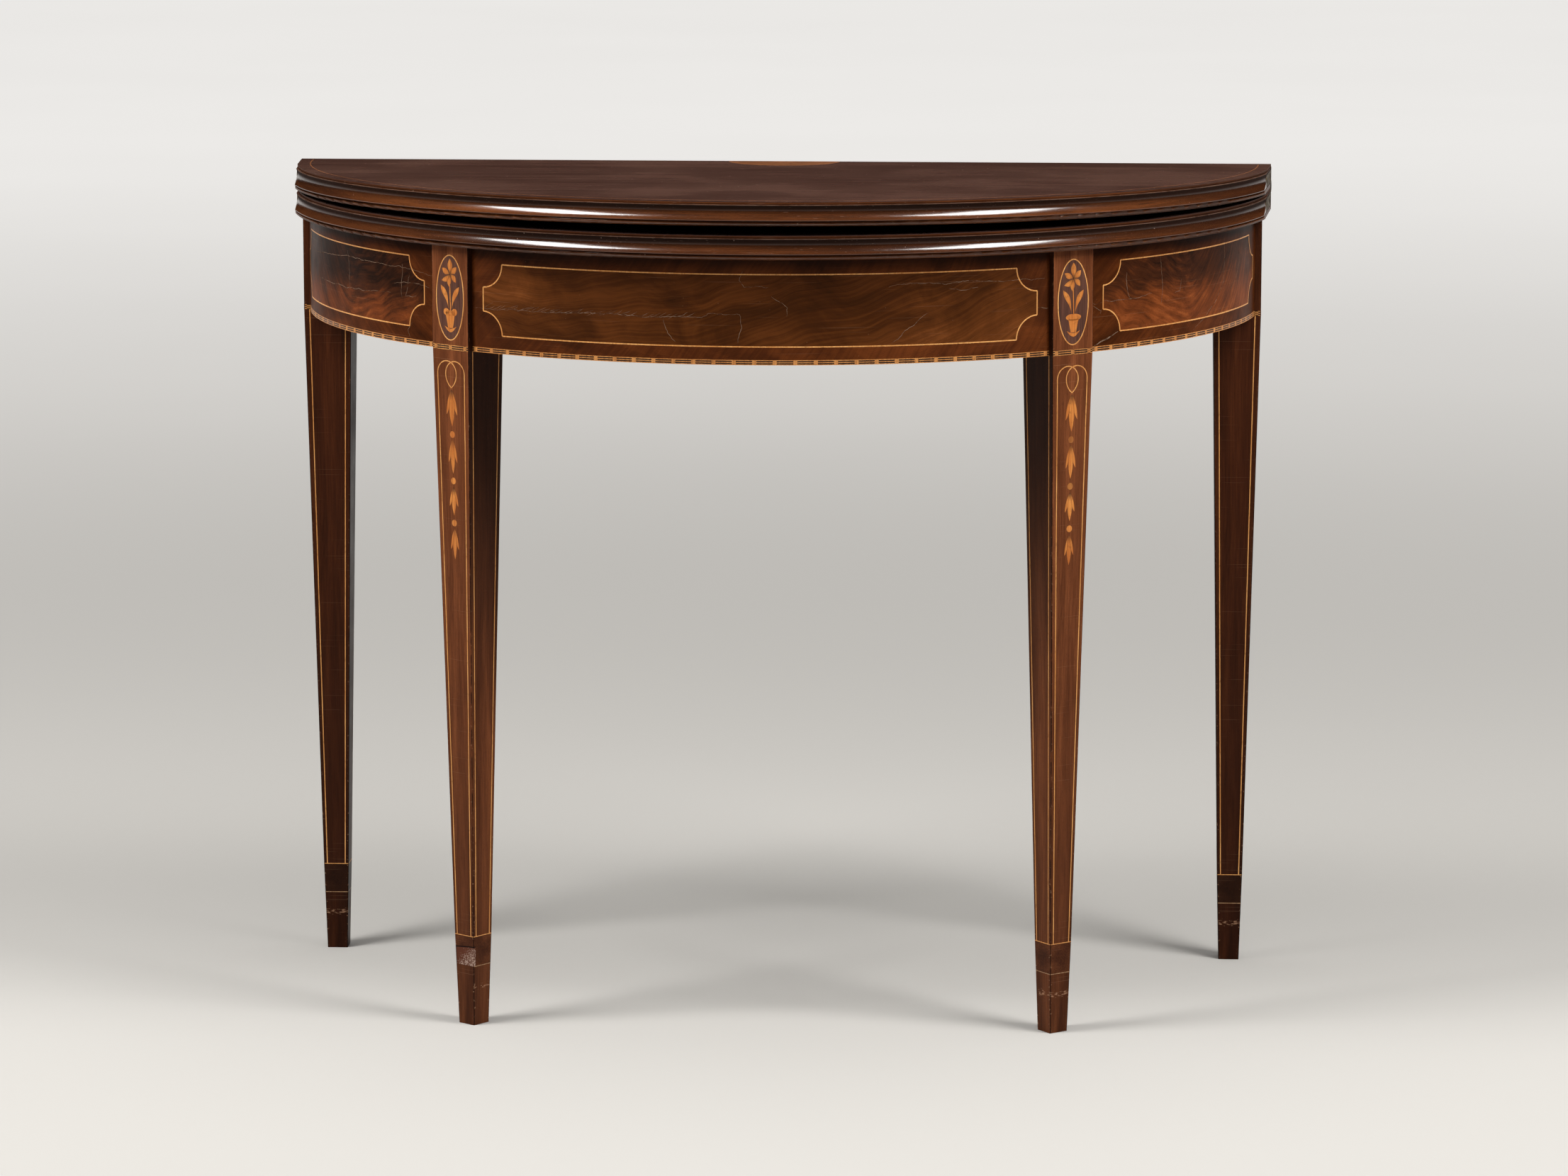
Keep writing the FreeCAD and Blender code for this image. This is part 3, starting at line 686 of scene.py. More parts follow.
def leg_places(place, leg):
    """A leg's places squared up, and masks of its parts."""
    square_up = {"Vector": place, "Location": (leg.x, leg.y, 0), "Rotation": (0, 0, leg.turn)}
    own = add_node("Mapping", square_up, vector_type="TEXTURE").outputs[0]
    x, y, z = split(own)
    foot_half = slope(z, 0.0, LEG_CUFF_HEIGHT, LEG_FOOT_SIZE / 2, LEG_CUFF_SIZE / 2)
    growth = slope(z, LEG_CUFF_HEIGHT, FRIEZE_BOTTOM, 0.0, (LEG_BLOCK - LEG_CUFF_SIZE) / 2)
    half = plus(foot_half, growth)
    from_corner = less(half, least(unsigned(x), unsigned(y)))
    inward = times(x, 1.0 if leg.outer == 3 else -1.0)
    on_inner = fade(less(inward, half), *FACE_SKIN)
    above = fade(z, LOWER_STRING, LOWER_STRING + CUFF_SOFTNESS)
    in_cuff = times(above, fade(z, LEG_CUFF_HEIGHT - CUFF_SOFTNESS, LEG_CUFF_HEIGHT, 1.0, 0.0))
    return SimpleNamespace(
        own=own, x=x, y=y, z=z, half=half, from_corner=from_corner, on_inner=on_inner, in_cuff=in_cuff
    )


def leg_wood(at, in_front):
    """The grain and the colour of a leg, lengthwise above and crosswise in the cuff."""
    lengthwise = join(at.z, at.x, at.y)
    crosswise = join(plus(at.x, at.y), at.z, less(at.x, at.y))
    place = mix_places(at.in_cuff, lengthwise, crosswise)
    grain = use_group(straight_grain, Vector=place)
    figure = blend(grain["Band"], grain["Fibre"], 0.4)
    # Rear legs take the darker tones, as painted shade.
    shaft = shades(figure, *(FRONT_LEG_TONES if in_front else SHADED_REAR_LEG_TONES))
    cuff = shades(figure, *(FRONT_CUFF_TONES if in_front else SHADED_REAR_CUFF_TONES))
    colour = mix(at.in_cuff, shaft, cuff)
    return grain, mix(times(grain["Pore"], 0.4), colour, tone(30, 13, 6))


print("cuff from", LOWER_STRING, "to", LEG_CUFF_HEIGHT)

# %% Age of a leg
CORNER_JOINT = 0.0009
CORNER_WEAR = (0.0006, 0.0028)
SCUFF_HEIGHT = 0.0355
SCUFF_REACH = 0.007
SCUFF_END = (0.045, 0.052)


def corner_joint(at):
    """The dark line where two faces meet, patchy above and open in the cuff."""
    line = fade(at.from_corner, CORNER_JOINT * 0.5, CORNER_JOINT, 1.0, 0.0)
    opened = fade(at.z, LEG_CUFF_HEIGHT - 0.02, LEG_CUFF_HEIGHT, 0.30, 0.0)
    patchy = plus(noise(at.own, 90.0, 3.0), opened)
    return times(line, fade(patchy, 0.38, 0.55))


def leg_painted_shade(at):
    """Painted shade on the inner side, most of it high up under the top, and all round towards the floor."""
    inside = times(at.on_inner, fade(at.z, 0.12, 0.60, 0.10, 0.88))
    return most(inside, fade(at.z, 0.0, 0.55, 0.50, 0.0))


def leg_marks(at, wear, chipped):
    """Flecks along the corners, scuffs at one height, and fine scratches."""
    flecks = times(
        fade(noise(at.own, 420.0, 3.0), 0.60, 0.70),
        fade(at.from_corner, *CORNER_WEAR, 1.0, 0.0), fade(at.z, 0.02, 0.30, 1.0, 0.25),
    )
    level = fade(apart(at.z, SCUFF_HEIGHT), 0.0, SCUFF_REACH, 0.50, 0.72)
    rubs = noise(at.own, (260, 260, 760), 4.0, 0.7)
    scuffs = fade(less(rubs, level), 0.0, 0.10)
    scuffs = times(scuffs, fade(at.z, *SCUFF_END, 1.0, 0.0))
    if chipped:
        scuffs = times(scuffs, at.on_inner)
    return most(flecks, scuffs, times(wear["Scratch"], 0.25))


print("scuffs about", SCUFF_HEIGHT, "above the floor")

# %% Lost veneer
CHIP_TOP = 0.0715
CHIP_SOFTNESS = 0.0002
CHIP_SLANT = 0.09
CHIP_CRACK = (0.0003, 0.0008)
CHIP_SIDE = (0.0008, 0.0016)


def lose_veneer(at, colour, relief):
    """Bare wood and crumbs of glue on the front of a cuff, with a dark crack above."""
    on_front = fade(times(at.y, -1.0), LEG_FOOT_SIZE / 2 - 0.001, LEG_FOOT_SIZE / 2)
    below = fade(at.z, CHIP_TOP - CHIP_SOFTNESS, CHIP_TOP, 1.0, 0.0)
    lost = times(at.in_cuff, below, on_front)
    crumbs = noise(at.own, 700.0, 4.0, 0.75)
    upper_left = less(slope(at.z, LOWER_STRING, CHIP_TOP), times(at.x, 45.0))
    level = fade(upper_left, 0.1, 1.1, 0.50, 0.66)
    glue = fade(less(crumbs, level), -0.08, 0.14)
    colour = mix(lost, colour, mix(glue, tone(84, 45, 30), tone(166, 144, 130)))
    torn = less(less(at.z, CHIP_TOP), times(at.x, CHIP_SLANT))
    crack = fade(unsigned(torn), *CHIP_CRACK, 1.0, 0.0)
    left_edge = fade(plus(at.x, at.half), *CHIP_SIDE, 1.0, 0.0)
    crack = most(crack, times(left_edge, lost))
    colour = mix(times(crack, on_front), colour, tone(14, 7, 4))
    return colour, plus(relief, times(lost, crumbs))


print("veneer lost from", LOWER_STRING, "to", CHIP_TOP)

# %% Leg finish
def leg_finish(name, leg, chipped):
    material, shader, place = start_material(name, {"Specular IOR Level": 0.06})
    at = leg_places(place, leg)
    grain, colour = leg_wood(at, leg.body == "frame")
    wear = use_group(polish_wear, Vector=at.own)
    # Painted shade: inner sides dark under the top, all faces darker towards the floor.
    colour = mix(leg_painted_shade(at), colour, tone(24, 9, 4))
    colour = mix(times(corner_joint(at), 0.85), colour, tone(22, 10, 5))
    marks = leg_marks(at, wear, chipped)
    colour = mix(times(marks, 0.55), colour, tone(176, 134, 104))
    relief = open_grain(grain)
    if chipped:
        colour, relief = lose_veneer(at, colour, relief)
    rough = by_wear(wear, 0.30, 0.46)
    feed(shader, Base_Color=colour, Roughness=rough, Normal=bump(relief, 0.12, 0.0003))
    return material


for name, leg in legs.items():
    dress([leg.node], leg_finish(name + "_leg_polish", leg, name == "front_left"))

# %% [markdown]
# Behind the polish is plain work: a carcass of paler wood that was never polished, brass hinges gone
# brown, iron pins and screws, the dark ground of the ladder banding and of the oval panels, and the pale
# wood of the inlays. The inlay wood can be scorched: the makers dipped its edges in hot sand, and here an
# attribute named scorch on the drawing's points says where.

# %% Carcass wood
CARCASS = [
    "frieze_core_left", "frieze_core_centre", "frieze_core_right", "inner_back_rail", "knuckle_rail",
    "glue_blocks", "left_fly_rail", "right_fly_rail",
]
CARCASS_TONES = ((0.30, tone(92, 62, 38)), (0.50, tone(126, 90, 58)), (0.70, tone(150, 112, 76)))


def carcass_finish():
    material, shader, place = start_material("carcass_wood_bare", {"Specular IOR Level": 0.1})
    grain = use_group(straight_grain, Vector=place)
    wear = use_group(polish_wear, Vector=place)
    figure = blend(grain["Band"], grain["Fibre"], 0.3)
    grime = fade(wear["Dull"], 0.42, 0.68)
    colour = shades(figure, *CARCASS_TONES)
    colour = mix(times(grime, 0.45), colour, tone(62, 42, 28))
    colour = mix(times(grain["Pore"], 0.3), colour, tone(60, 38, 22))
    rough = by_wear(wear, 0.62, 0.8)
    feed(shader, Base_Color=colour, Roughness=rough, Normal=bump(grain["Fibre"], 0.25, 0.0004))
    return material


dress(CARCASS, carcass_finish())

# %% Dark grounds and metals
def ground_finish(name, dark, light, shine):
    material, shader, place = start_material(name, {"Specular IOR Level": shine})
    x, y, z = split(place)
    grain = use_group(straight_grain, Vector=join(z, x, 0.0))
    wear = use_group(polish_wear, Vector=place)
    colour = shades(grain["Fibre"], (0.30, dark), (0.70, light))
    rough = by_wear(wear, 0.34, 0.48)
    feed(shader, Base_Color=colour, Roughness=rough, Normal=bump(grain["Fibre"], 0.1, 0.0002))
    return material


def metal_finish(name, bright, dark, smooth):
    material, shader, place = start_material(name, {"Metallic": 1.0})
    blotch = noise(place, 160.0, 5.0, 0.65)
    fine = noise(place, 1400.0, 2.0)
    tarnish = fade(plus(blotch, times(fine, 0.15)), 0.42, 0.68)
    colour = mix(tarnish, bright, dark)
    rough = slope(tarnish, 0.0, 1.0, smooth, smooth + 0.3)
    feed(shader, Base_Color=colour, Roughness=rough, Normal=bump(fine, 0.12, 0.0002))
    return material


band_ground = ground_finish("ladder_ground", tone(26, 12, 6), tone(46, 24, 13), 0.2)
oval_ground = ground_finish("oval_ground_veneer", tone(58, 33, 24), tone(92, 56, 42), 0.2)
dress(["frieze_banding_left", "frieze_banding_centre", "frieze_banding_right"], band_ground)
dress(["oval_panel_left", "oval_panel_right"], oval_ground)
hinges = [level + "_hinge_plate_" + side for level in ("lower", "upper") for side in ("left", "right")]
dress(hinges + ["hinge_pins"], metal_finish("aged_brass", tone(112, 94, 66), tone(44, 35, 25), 0.42))
dress(
    ["knuckle_pins", "rail_screws", "lower_hinge_screws", "upper_hinge_screws"],
    metal_finish("dark_iron_old", tone(84, 80, 76), tone(44, 36, 30), 0.42),
)

# %% Inlay wood
def inlay_finish(name, pale, warm):
    material, shader, place = start_material(name, {"Specular IOR Level": 0.22})
    x, y, z = split(place)
    grain = use_group(straight_grain, Vector=join(z, x, y))
    wear = use_group(polish_wear, Vector=place)
    figure = blend(grain["Fibre"], wear["Dull"], 0.4)
    colour = mix(fade(figure, 0.36, 0.64), warm, pale)
    scorch = add_node("Attribute", {}, attribute_name="scorch").outputs["Fac"]
    colour = mix(scorch, colour, tone(40, 20, 10))
    dirt = fade(noise(place, 260.0, 3.0), 0.56, 0.70)
    colour = mix(times(dirt, 0.35), colour, tone(96, 56, 26))
    rough = by_wear(wear, 0.32, 0.46)
    feed(shader, Base_Color=colour, Roughness=rough, Normal=bump(grain["Fibre"], 0.08, 0.0002))
    return material


string_wood = inlay_finish("string_boxwood", tone(212, 154, 90), tone(184, 120, 60))
flower_wood = inlay_finish("flower_boxwood", tone(200, 128, 60), tone(164, 90, 34))
ladder_wood = inlay_finish("ladder_boxwood", tone(194, 134, 74), tone(156, 98, 48))
worn_wood = inlay_finish("worn_foot_string", tone(158, 124, 90), tone(118, 84, 55))
faded_wood = inlay_finish("faded_top_inlay", tone(126, 80, 50), tone(100, 60, 36))
dress(["half_patera"], faded_wood)

# %% [markdown]
# Inlays are thin pieces let into the veneer. Each is drawn flat with a few bmesh operators (a grid for a
# straight string, a spun edge for a bent one, a filled circle for a dot), thickened a little, and then
# laid on the table by a function that carries flat places to the curved frieze, a leg's face or the top.
# They stand a hair proud of the polish, so they never flicker against it. Ragged lines take their jags
# from a noise, whose seed is set here because it otherwise follows the clock.

# %% Draw strings
def draw_strip(sheet, start, end, width, lengths=1):
    """A straight string from start to end, cut into so many lengths."""
    start, end = Vector(start), Vector(end)
    run = end - start
    turn = Matrix.Rotation(math.atan2(run.y, run.x), 4, "Z")
    place = Matrix.Translation(((start.x + end.x) / 2, (start.y + end.y) / 2, 0))
    size = Matrix.Diagonal((run.length, width, 1, 1))
    bmesh.ops.create_grid(sheet, x_segments=lengths, y_segments=1, size=0.5, matrix=place @ turn @ size)


def draw_arc(sheet, centre, radius, first, last, width, steps=10):
    """A bent string: a short edge spun about a centre, from one angle in degrees to another."""
    a = math.radians(first)
    way = Vector((math.cos(a), math.sin(a), 0))
    middle = Vector((centre[0], centre[1], 0))
    ends = [sheet.verts.new(middle + way * (radius + side * width / 2)) for side in (-1, 1)]
    edge = sheet.edges.new(ends)
    bmesh.ops.spin(
        sheet, geom=ends + [edge], cent=middle, axis=(0, 0, 1), dvec=(0, 0, 0),
        angle=math.radians(last - first), steps=steps, use_merge=False,
    )


print("straight and bent strings can be drawn")

# %% Draw ovals and blades
MERGE_DISTANCE = 0.00001
SCORCH_FADE = 2.6
SCORCH_RIM = 0.3


def scorch_layer(sheet):
    return sheet.verts.layers.float.get("scorch") or sheet.verts.layers.float.new("scorch")


def draw_oval(sheet, centre, width, height, line=0.0, segments=48, scorch=0.0):
    """A filled oval, or with a line width only the ring inside its edge."""
    layer = scorch_layer(sheet)
    place = Matrix.Translation((centre[0], centre[1], 0)) @ Matrix.Diagonal((width / 2, height / 2, 1, 1))
    made = bmesh.ops.create_circle(sheet, cap_ends=True, radius=1.0, segments=segments, matrix=place)
    faces = list({face for vert in made["verts"] for face in vert.link_faces})
    for vert in made["verts"]:
        vert[layer] = scorch
    if line:
        bmesh.ops.inset_region(sheet, faces=faces, thickness=line, use_even_offset=True, use_boundary=True)
        bmesh.ops.delete(sheet, geom=faces, context="FACES")


def draw_blade(sheet, base, tip, width, belly=0.5, bend=0.0, scorch=0.0, steps=8):
    """A pointed petal or leaf, widest at the belly, bent to one side and scorched at its base."""
    layer = scorch_layer(sheet)
    base, run = Vector(base), Vector(tip) - Vector(base)
    side = Vector((-run.y, run.x)).normalized()
    power = math.log(0.5) / math.log(belly)
    made = bmesh.ops.create_grid(sheet, x_segments=steps, y_segments=2, size=1.0)
    for vert in made["verts"]:
        along, across = (vert.co.x + 1) / 2, vert.co.y
        swell = math.sin(math.pi * along ** power)
        spot = base + run * along + side * (across * width / 2 * swell + bend * math.sin(math.pi * along))
        vert.co = (spot.x, spot.y, 0)
        vert[layer] = scorch * max(0.0, 1.0 - along * SCORCH_FADE) + SCORCH_RIM * scorch * abs(across) ** 3
    bmesh.ops.remove_doubles(sheet, verts=made["verts"], dist=MERGE_DISTANCE)


print("ovals and blades can be drawn")

# %% Draw a ragged line
BROAD_WAVES, FINE_WAVES = 110, 420
FINE_SHARE = 0.6
THIN_END = 0.3
CRACK_SEED = 4
wander.seed_set(CRACK_SEED)


def draw_path(sheet, points, width, jag, step=0.002):
    """A ragged line through points, thin at both ends: one short edge is pushed along the way."""
    trail = []
    for start, end in zip(points, points[1:]):
        start, end = Vector(start), Vector(end)
        count = max(1, round((end - start).length / step))
        for share in range(count):
            spot = start.lerp(end, share / count)
            broad = wander.noise_vector((spot.x * BROAD_WAVES, spot.y * BROAD_WAVES, 3.0))
            fine = wander.noise_vector((spot.x * FINE_WAVES, spot.y * FINE_WAVES, 0.0))
            trail.append(spot + jag * (broad + FINE_SHARE * fine).to_2d())
    trail.append(Vector(points[-1]))
    pair = []
    for index, spot in enumerate(trail):
        way = trail[min(index + 1, len(trail) - 1)] - trail[max(index - 1, 0)]
        thin = THIN_END + (1 - THIN_END) * math.sin(math.pi * index / (len(trail) - 1))
        side = Vector((-way.y, way.x)).normalized() * width / 2 * thin
        if pair:
            edge = sheet.edges.get(pair)
            pushed = bmesh.ops.extrude_edge_only(sheet, edges=[edge])["geom"]
            new = [item for item in pushed if isinstance(item, bmesh.types.BMVert)]
            pair = [next(e.other_vert(v) for e in v.link_edges if e.other_vert(v) in new) for v in pair]
        else:
            pair = [sheet.verts.new(), sheet.verts.new()]
            sheet.edges.new(pair)
        for vert, sign in zip(pair, (1, -1)):
            vert.co = (spot.x + sign * side.x, spot.y + sign * side.y, 0)


print("ragged lines can be drawn, with seed", CRACK_SEED)

# %% Lay a drawing on the table
INLAY_RISE = 0.00006
INLAY_DEPTH = 0.0004


def make_piece(name, sheet, material):
    """Turns a drawing into an object of the scene, in one material."""
    mesh = bpy.data.meshes.new(name)
    sheet.to_mesh(mesh)
    sheet.free()
    mesh.materials.append(material)
    return add_object(name, mesh)


def lay_inlay(name, sheet, lay, body, material, rise=INLAY_RISE):
    """Thickens a flat drawing, lays it on the table and lets it ride on a body."""
    top = bmesh.ops.extrude_face_region(sheet, geom=sheet.faces[:])["geom"]
    raised = [item for item in top if isinstance(item, bmesh.types.BMVert)]
    bmesh.ops.translate(sheet, verts=sheet.verts, vec=(0, 0, -INLAY_DEPTH))
    bmesh.ops.translate(sheet, verts=raised, vec=(0, 0, INLAY_DEPTH + rise))
    for vert in sheet.verts:
        vert.co = lay(*vert.co)
    bmesh.ops.recalc_face_normals(sheet, faces=sheet.faces)
    piece = make_piece(name, sheet, material)
    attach(piece, body)
    print(name, "laid with", len(piece.data.polygons), "faces")


def on_frieze(u, v, w):
    """Along the frieze from its middle, up from the floor, and out of its face."""
    angle = u / FRIEZE_RADIUS
    reach = FRIEZE_RADIUS + w
    return Vector((reach * math.sin(angle), BACK_EDGE - reach * math.cos(angle), v))


def on_top(u, v, w):
    """Across and along the closed top, up from its face; then lifted with the leaf."""
    lifted = Matrix.Rotation(-LEAF_LIFT, 3, "X") @ (Vector((u, v, UPPER_TOP + w)) - FOLD_LINE)
    return FOLD_LINE + lifted


print("inlays stand", INLAY_RISE, "proud")

# %% [markdown]
# The frieze strings follow the panel: two long lines, two short uprights, and four hollow corners. A long
# line bends with the board, so it is cut into many short lengths before it is laid.

# %% Frieze strings
STRING_WIDTH = 0.0011
BEND_LENGTH = 0.008


def lengths_for(run):
    return max(1, round(abs(run) / BEND_LENGTH))


def panel_strings(name, start, end):
    sheet = bmesh.new()
    for level in (PANEL_TOP, PANEL_BOTTOM):
        first, last = start + PANEL_HOLLOW, end - PANEL_HOLLOW
        draw_strip(sheet, (first, level), (last, level), STRING_WIDTH, lengths_for(last - first))
    for side in (start, end):
        draw_strip(sheet, (side, PANEL_BOTTOM + PANEL_HOLLOW), (side, PANEL_TOP - PANEL_HOLLOW), STRING_WIDTH)
    for side, level, first in (
        (start, PANEL_TOP, -90), (end, PANEL_TOP, -180), (start, PANEL_BOTTOM, 0), (end, PANEL_BOTTOM, 90),
    ):
        draw_arc(sheet, (side, level), PANEL_HOLLOW, first, first + 90, STRING_WIDTH)
    lay_inlay(name, sheet, on_frieze, "frame", string_wood)


panel_strings("panel_string_centre", -CENTRE_PANEL_END, CENTRE_PANEL_END)
panel_strings("panel_string_left", -SIDE_PANEL_END, -SIDE_PANEL_START)
panel_strings("panel_string_right", SIDE_PANEL_START, SIDE_PANEL_END)

# %% [markdown]
# Two centuries of drying have opened the boards behind the veneer, and the varnish shows it: fine ragged
# cracks filled with pale dust. They could be painted into the veneer, but a thin laid line keeps its
# edge at any distance. The places are in millimetres along the frieze and up from the floor. From the
# longest crack short hairs fan out, as the fibres tore at a slant.

# %% Cracks in the frieze
CRACK_WIDTH = 0.00038
CRACK_JAG = 0.0013
CRACKS = {
    "left": (
        ((-591, 672), (-454, 680), (-375, 679), (-355, 679), (-316, 674)),
        ((-559, 651), (-489, 651.5), (-427, 652), (-378, 655)),
        ((-459, 688), (-455, 670), (-455, 652)),
        ((-360, 682), (-361, 651)),
        ((-350, 674), (-355, 653), (-340, 655)),
        ((-346, 631), (-353, 625), (-350, 618)),
        ((-372, 663), (-345, 667), (-320, 664)),
    ),
    "centre": (
        ((-268, 651), (-230, 651), (-188, 652), (-156, 652.5), (-125, 653),
         (-86, 652), (-46, 653), (-40, 656), (-13, 655.5)),
        ((-13, 655.5), (-11.5, 645), (-13.5, 634), (-14.6, 629.6)),
        ((-80, 650), (-75.5, 638), (-69, 631)),
        ((-10, 695), (-13, 685.5), (-9, 679.5), (12, 679.5)),
        ((15, 671), (28, 662.5), (28, 654)),
        ((116, 678.7), (141.5, 681), (168.5, 680), (193.6, 681), (217, 680), (240, 680), (264, 680)),
        ((172, 675.6), (186, 673.8), (198, 675.7)),
        ((255, 654), (268, 654)),
        ((119.5, 630), (132, 640), (144, 649), (153, 656)),
    ),
    "right": (
        ((316, 653.5), (331.5, 655), (360, 655), (375, 655.5), (391, 657.5)),
        ((358, 678), (357.5, 665), (362, 655)),
        ((317, 652), (327, 647.5), (326.5, 644)),
        ((403, 690), (405, 674), (407, 656.5), (404.6, 646.6)),
        ((436, 666), (433, 655), (426, 654.7)),
        ((557, 681.5), (560, 669), (550.5, 656), (537, 648)),
        ((518, 695), (518.6, 678), (517.6, 656.6), (502, 641.5), (479.5, 628.4), (456.7, 618.7)),
    ),
}
HAIR_START, HAIR_END, HAIR_COUNT, HAIR_WAVES = -0.255, -0.055, 40, 900
HAIR_LEVEL, HAIR_SCATTER = 0.6515, 0.002
HAIR_RUN, HAIR_RISE = (0.009, 0.005), (0.0035, 0.003)
HAIR_WIDTH, HAIR_JAG = CRACK_WIDTH * 0.6, 0.0004
BROKEN_EDGE = ((0.3474, 0.6272), (0.3336, 0.6218), (0.3185, 0.6168))
BROKEN_WIDTH, BROKEN_JAG = CRACK_WIDTH * 3.2, 0.0005


def crack_finish():
    dusty = {"Specular IOR Level": 0.0, "Roughness": 0.85}
    material, shader, place = start_material("crack_dust", dusty)
    patches = fade(noise(place, 130.0, 3.0, 0.7), 0.34, 0.58)
    colour = mix(patches, tone(62, 41, 28), tone(120, 98, 82))
    feed(shader, Base_Color=colour)
    return material


crack_dust = crack_finish()
for side, lines in CRACKS.items():
    sheet = bmesh.new()
    for line in lines:
        draw_path(sheet, [(u / 1000, v / 1000) for u, v in line], CRACK_WIDTH, CRACK_JAG)
    if side == "centre":
        for hair in range(HAIR_COUNT):
            u = HAIR_START + (HAIR_END - HAIR_START) * hair / HAIR_COUNT
            sway = wander.noise_vector((u * HAIR_WAVES, 0.5, 7.0))
            run, rise = HAIR_RUN[0] + HAIR_RUN[1] * sway.x, HAIR_RISE[0] + HAIR_RISE[1] * sway.y
            level = HAIR_LEVEL + HAIR_SCATTER * sway.z
            draw_path(sheet, [(u, level), (u + run, level + rise)], HAIR_WIDTH, HAIR_JAG)
    if side == "right":
        draw_path(sheet, BROKEN_EDGE, BROKEN_WIDTH, BROKEN_JAG)
    cracks = "frieze_cracks_" + side
    lay_inlay(cracks, sheet, on_frieze, "frame", crack_dust, 0.5 * INLAY_RISE)

# %% [markdown]
# The ladder banding along the bottom of the frieze is three pale lines on a dark ground with a pale block
# every so often. It runs across the leg faces too, on a dark strip of its own.

# %% Ladder banding
LADDER_LINE = BAND_HEIGHT * 0.165
LADDER_PITCH = 0.0177
LADDER_BLOCK = 0.0034
LADDER_MARGIN = 0.0006
GROUND_OVERLAP = 0.0004
LOW_RIM = 0.001
FACE_DEPTH = 0.0001


def draw_ladder(sheet, start, end, lengths):
    middle = FRIEZE_BOTTOM + BAND_HEIGHT / 2
    for rung in (-1, 0, 1):
        level = middle + rung * (BAND_HEIGHT - LADDER_LINE) / 2
        draw_strip(sheet, (start, level), (end, level), LADDER_LINE, lengths)
    count = int((end - start) / LADDER_PITCH)
    first = (start + end) / 2 - count / 2 * LADDER_PITCH
    for step in range(count + 1):
        place = first + step * LADDER_PITCH
        low, high = max(start, place - LADDER_BLOCK / 2), min(end, place + LADDER_BLOCK / 2)
        draw_strip(sheet, (low, middle), (high, middle), BAND_HEIGHT)


def frieze_end(node, index):
    """Where a frieze run ends, as a distance along the board."""
    angles = []
    for vert in nodes[node].data.vertices:
        forward = BACK_EDGE - vert.co.y
        on_face = math.hypot(vert.co.x, forward) > FRIEZE_RADIUS - FACE_DEPTH
        if on_face and vert.co.z < FRIEZE_BOTTOM + LOW_RIM:
            angles.append(math.atan2(vert.co.x, forward))
    return sorted(angles)[index] * FRIEZE_RADIUS


for side in ("left", "centre", "right"):
    node = "frieze_banding_" + side
    start, end = frieze_end(node, 0), frieze_end(node, -1)
    sheet = bmesh.new()
    draw_ladder(sheet, start, end, lengths_for(end - start))
    lay_inlay("ladder_lines_" + side, sheet, on_frieze, "frame", ladder_wood)

half = LEG_BLOCK / 2 - LADDER_MARGIN
level = FRIEZE_BOTTOM + BAND_HEIGHT / 2
for name, leg in legs.items():
    for side in ((0,) if leg.body == "frame" else (0, leg.outer)):
        tag, face = f"{name}_{side}", leg.face(side)
        sheet = bmesh.new()
        draw_strip(sheet, (-half, level), (half, level), BAND_HEIGHT + GROUND_OVERLAP)
        lay_inlay("ladder_ground_" + tag, sheet, face, leg.body, band_ground)
        sheet = bmesh.new()
        draw_ladder(sheet, -half, half, 1)
        lay_inlay("ladder_lines_" + tag, sheet, face, leg.body, ladder_wood, rise=2 * INLAY_RISE)

# %% [markdown]
# Each leg face carries two fine strings near its corners that run down to the cuff, and two strings that
# go round the leg at the cuff; on the left front leg the lower one is lost with the veneer above it. On
# the front of the front legs the edge strings rise into a pair of crossing loops, and a chain of
# bellflowers hangs from them, smaller towards the bottom.

# %% Leg strings
EDGE_STRING = 0.0009
CUFF_STRING = 0.0007
CORNER_MARGIN = 0.0005
CROSS_STRINGS = (("cuff_string", LEG_CUFF_HEIGHT, string_wood), ("foot_string", LOWER_STRING, worn_wood))
LOST_STRING = ("foot_string", "front_left", 0)
EDGE_INSET = 0.0053
LOW_INSET = EDGE_INSET * 0.62
LOOP_CENTRE = 0.5903
LOOP_BULGE = 0.0065
LOOP_POINT = 0.578


def draw_edge_strings(sheet, leg, top):
    for side in (-1, 1):
        high = (side * (leg.half(top) - EDGE_INSET), top)
        low = (side * (leg.half(LEG_CUFF_HEIGHT) - LOW_INSET), LEG_CUFF_HEIGHT)
        draw_strip(sheet, high, low, EDGE_STRING, 8)


def draw_loops(sheet, leg):
    """Each edge string bends over the top, crosses the other and comes down to a shared point."""
    outer = leg.half(LOOP_CENTRE) - EDGE_INSET
    radius = (outer + LOOP_BULGE) / 2
    drop = LOOP_CENTRE - LOOP_POINT
    tail = (LOOP_BULGE ** 2 + drop ** 2) / (2 * LOOP_BULGE)
    sweep = math.degrees(math.asin(drop / tail))
    for side in (-1, 1):
        middle = (side * (outer - radius), LOOP_CENTRE)
        draw_arc(sheet, middle, radius, 0, 180, EDGE_STRING, 20)
        centre = (side * (tail - LOOP_BULGE), LOOP_CENTRE)
        start = 180 if side > 0 else 0
        draw_arc(sheet, centre, tail, start, start + side * sweep, EDGE_STRING, 8)


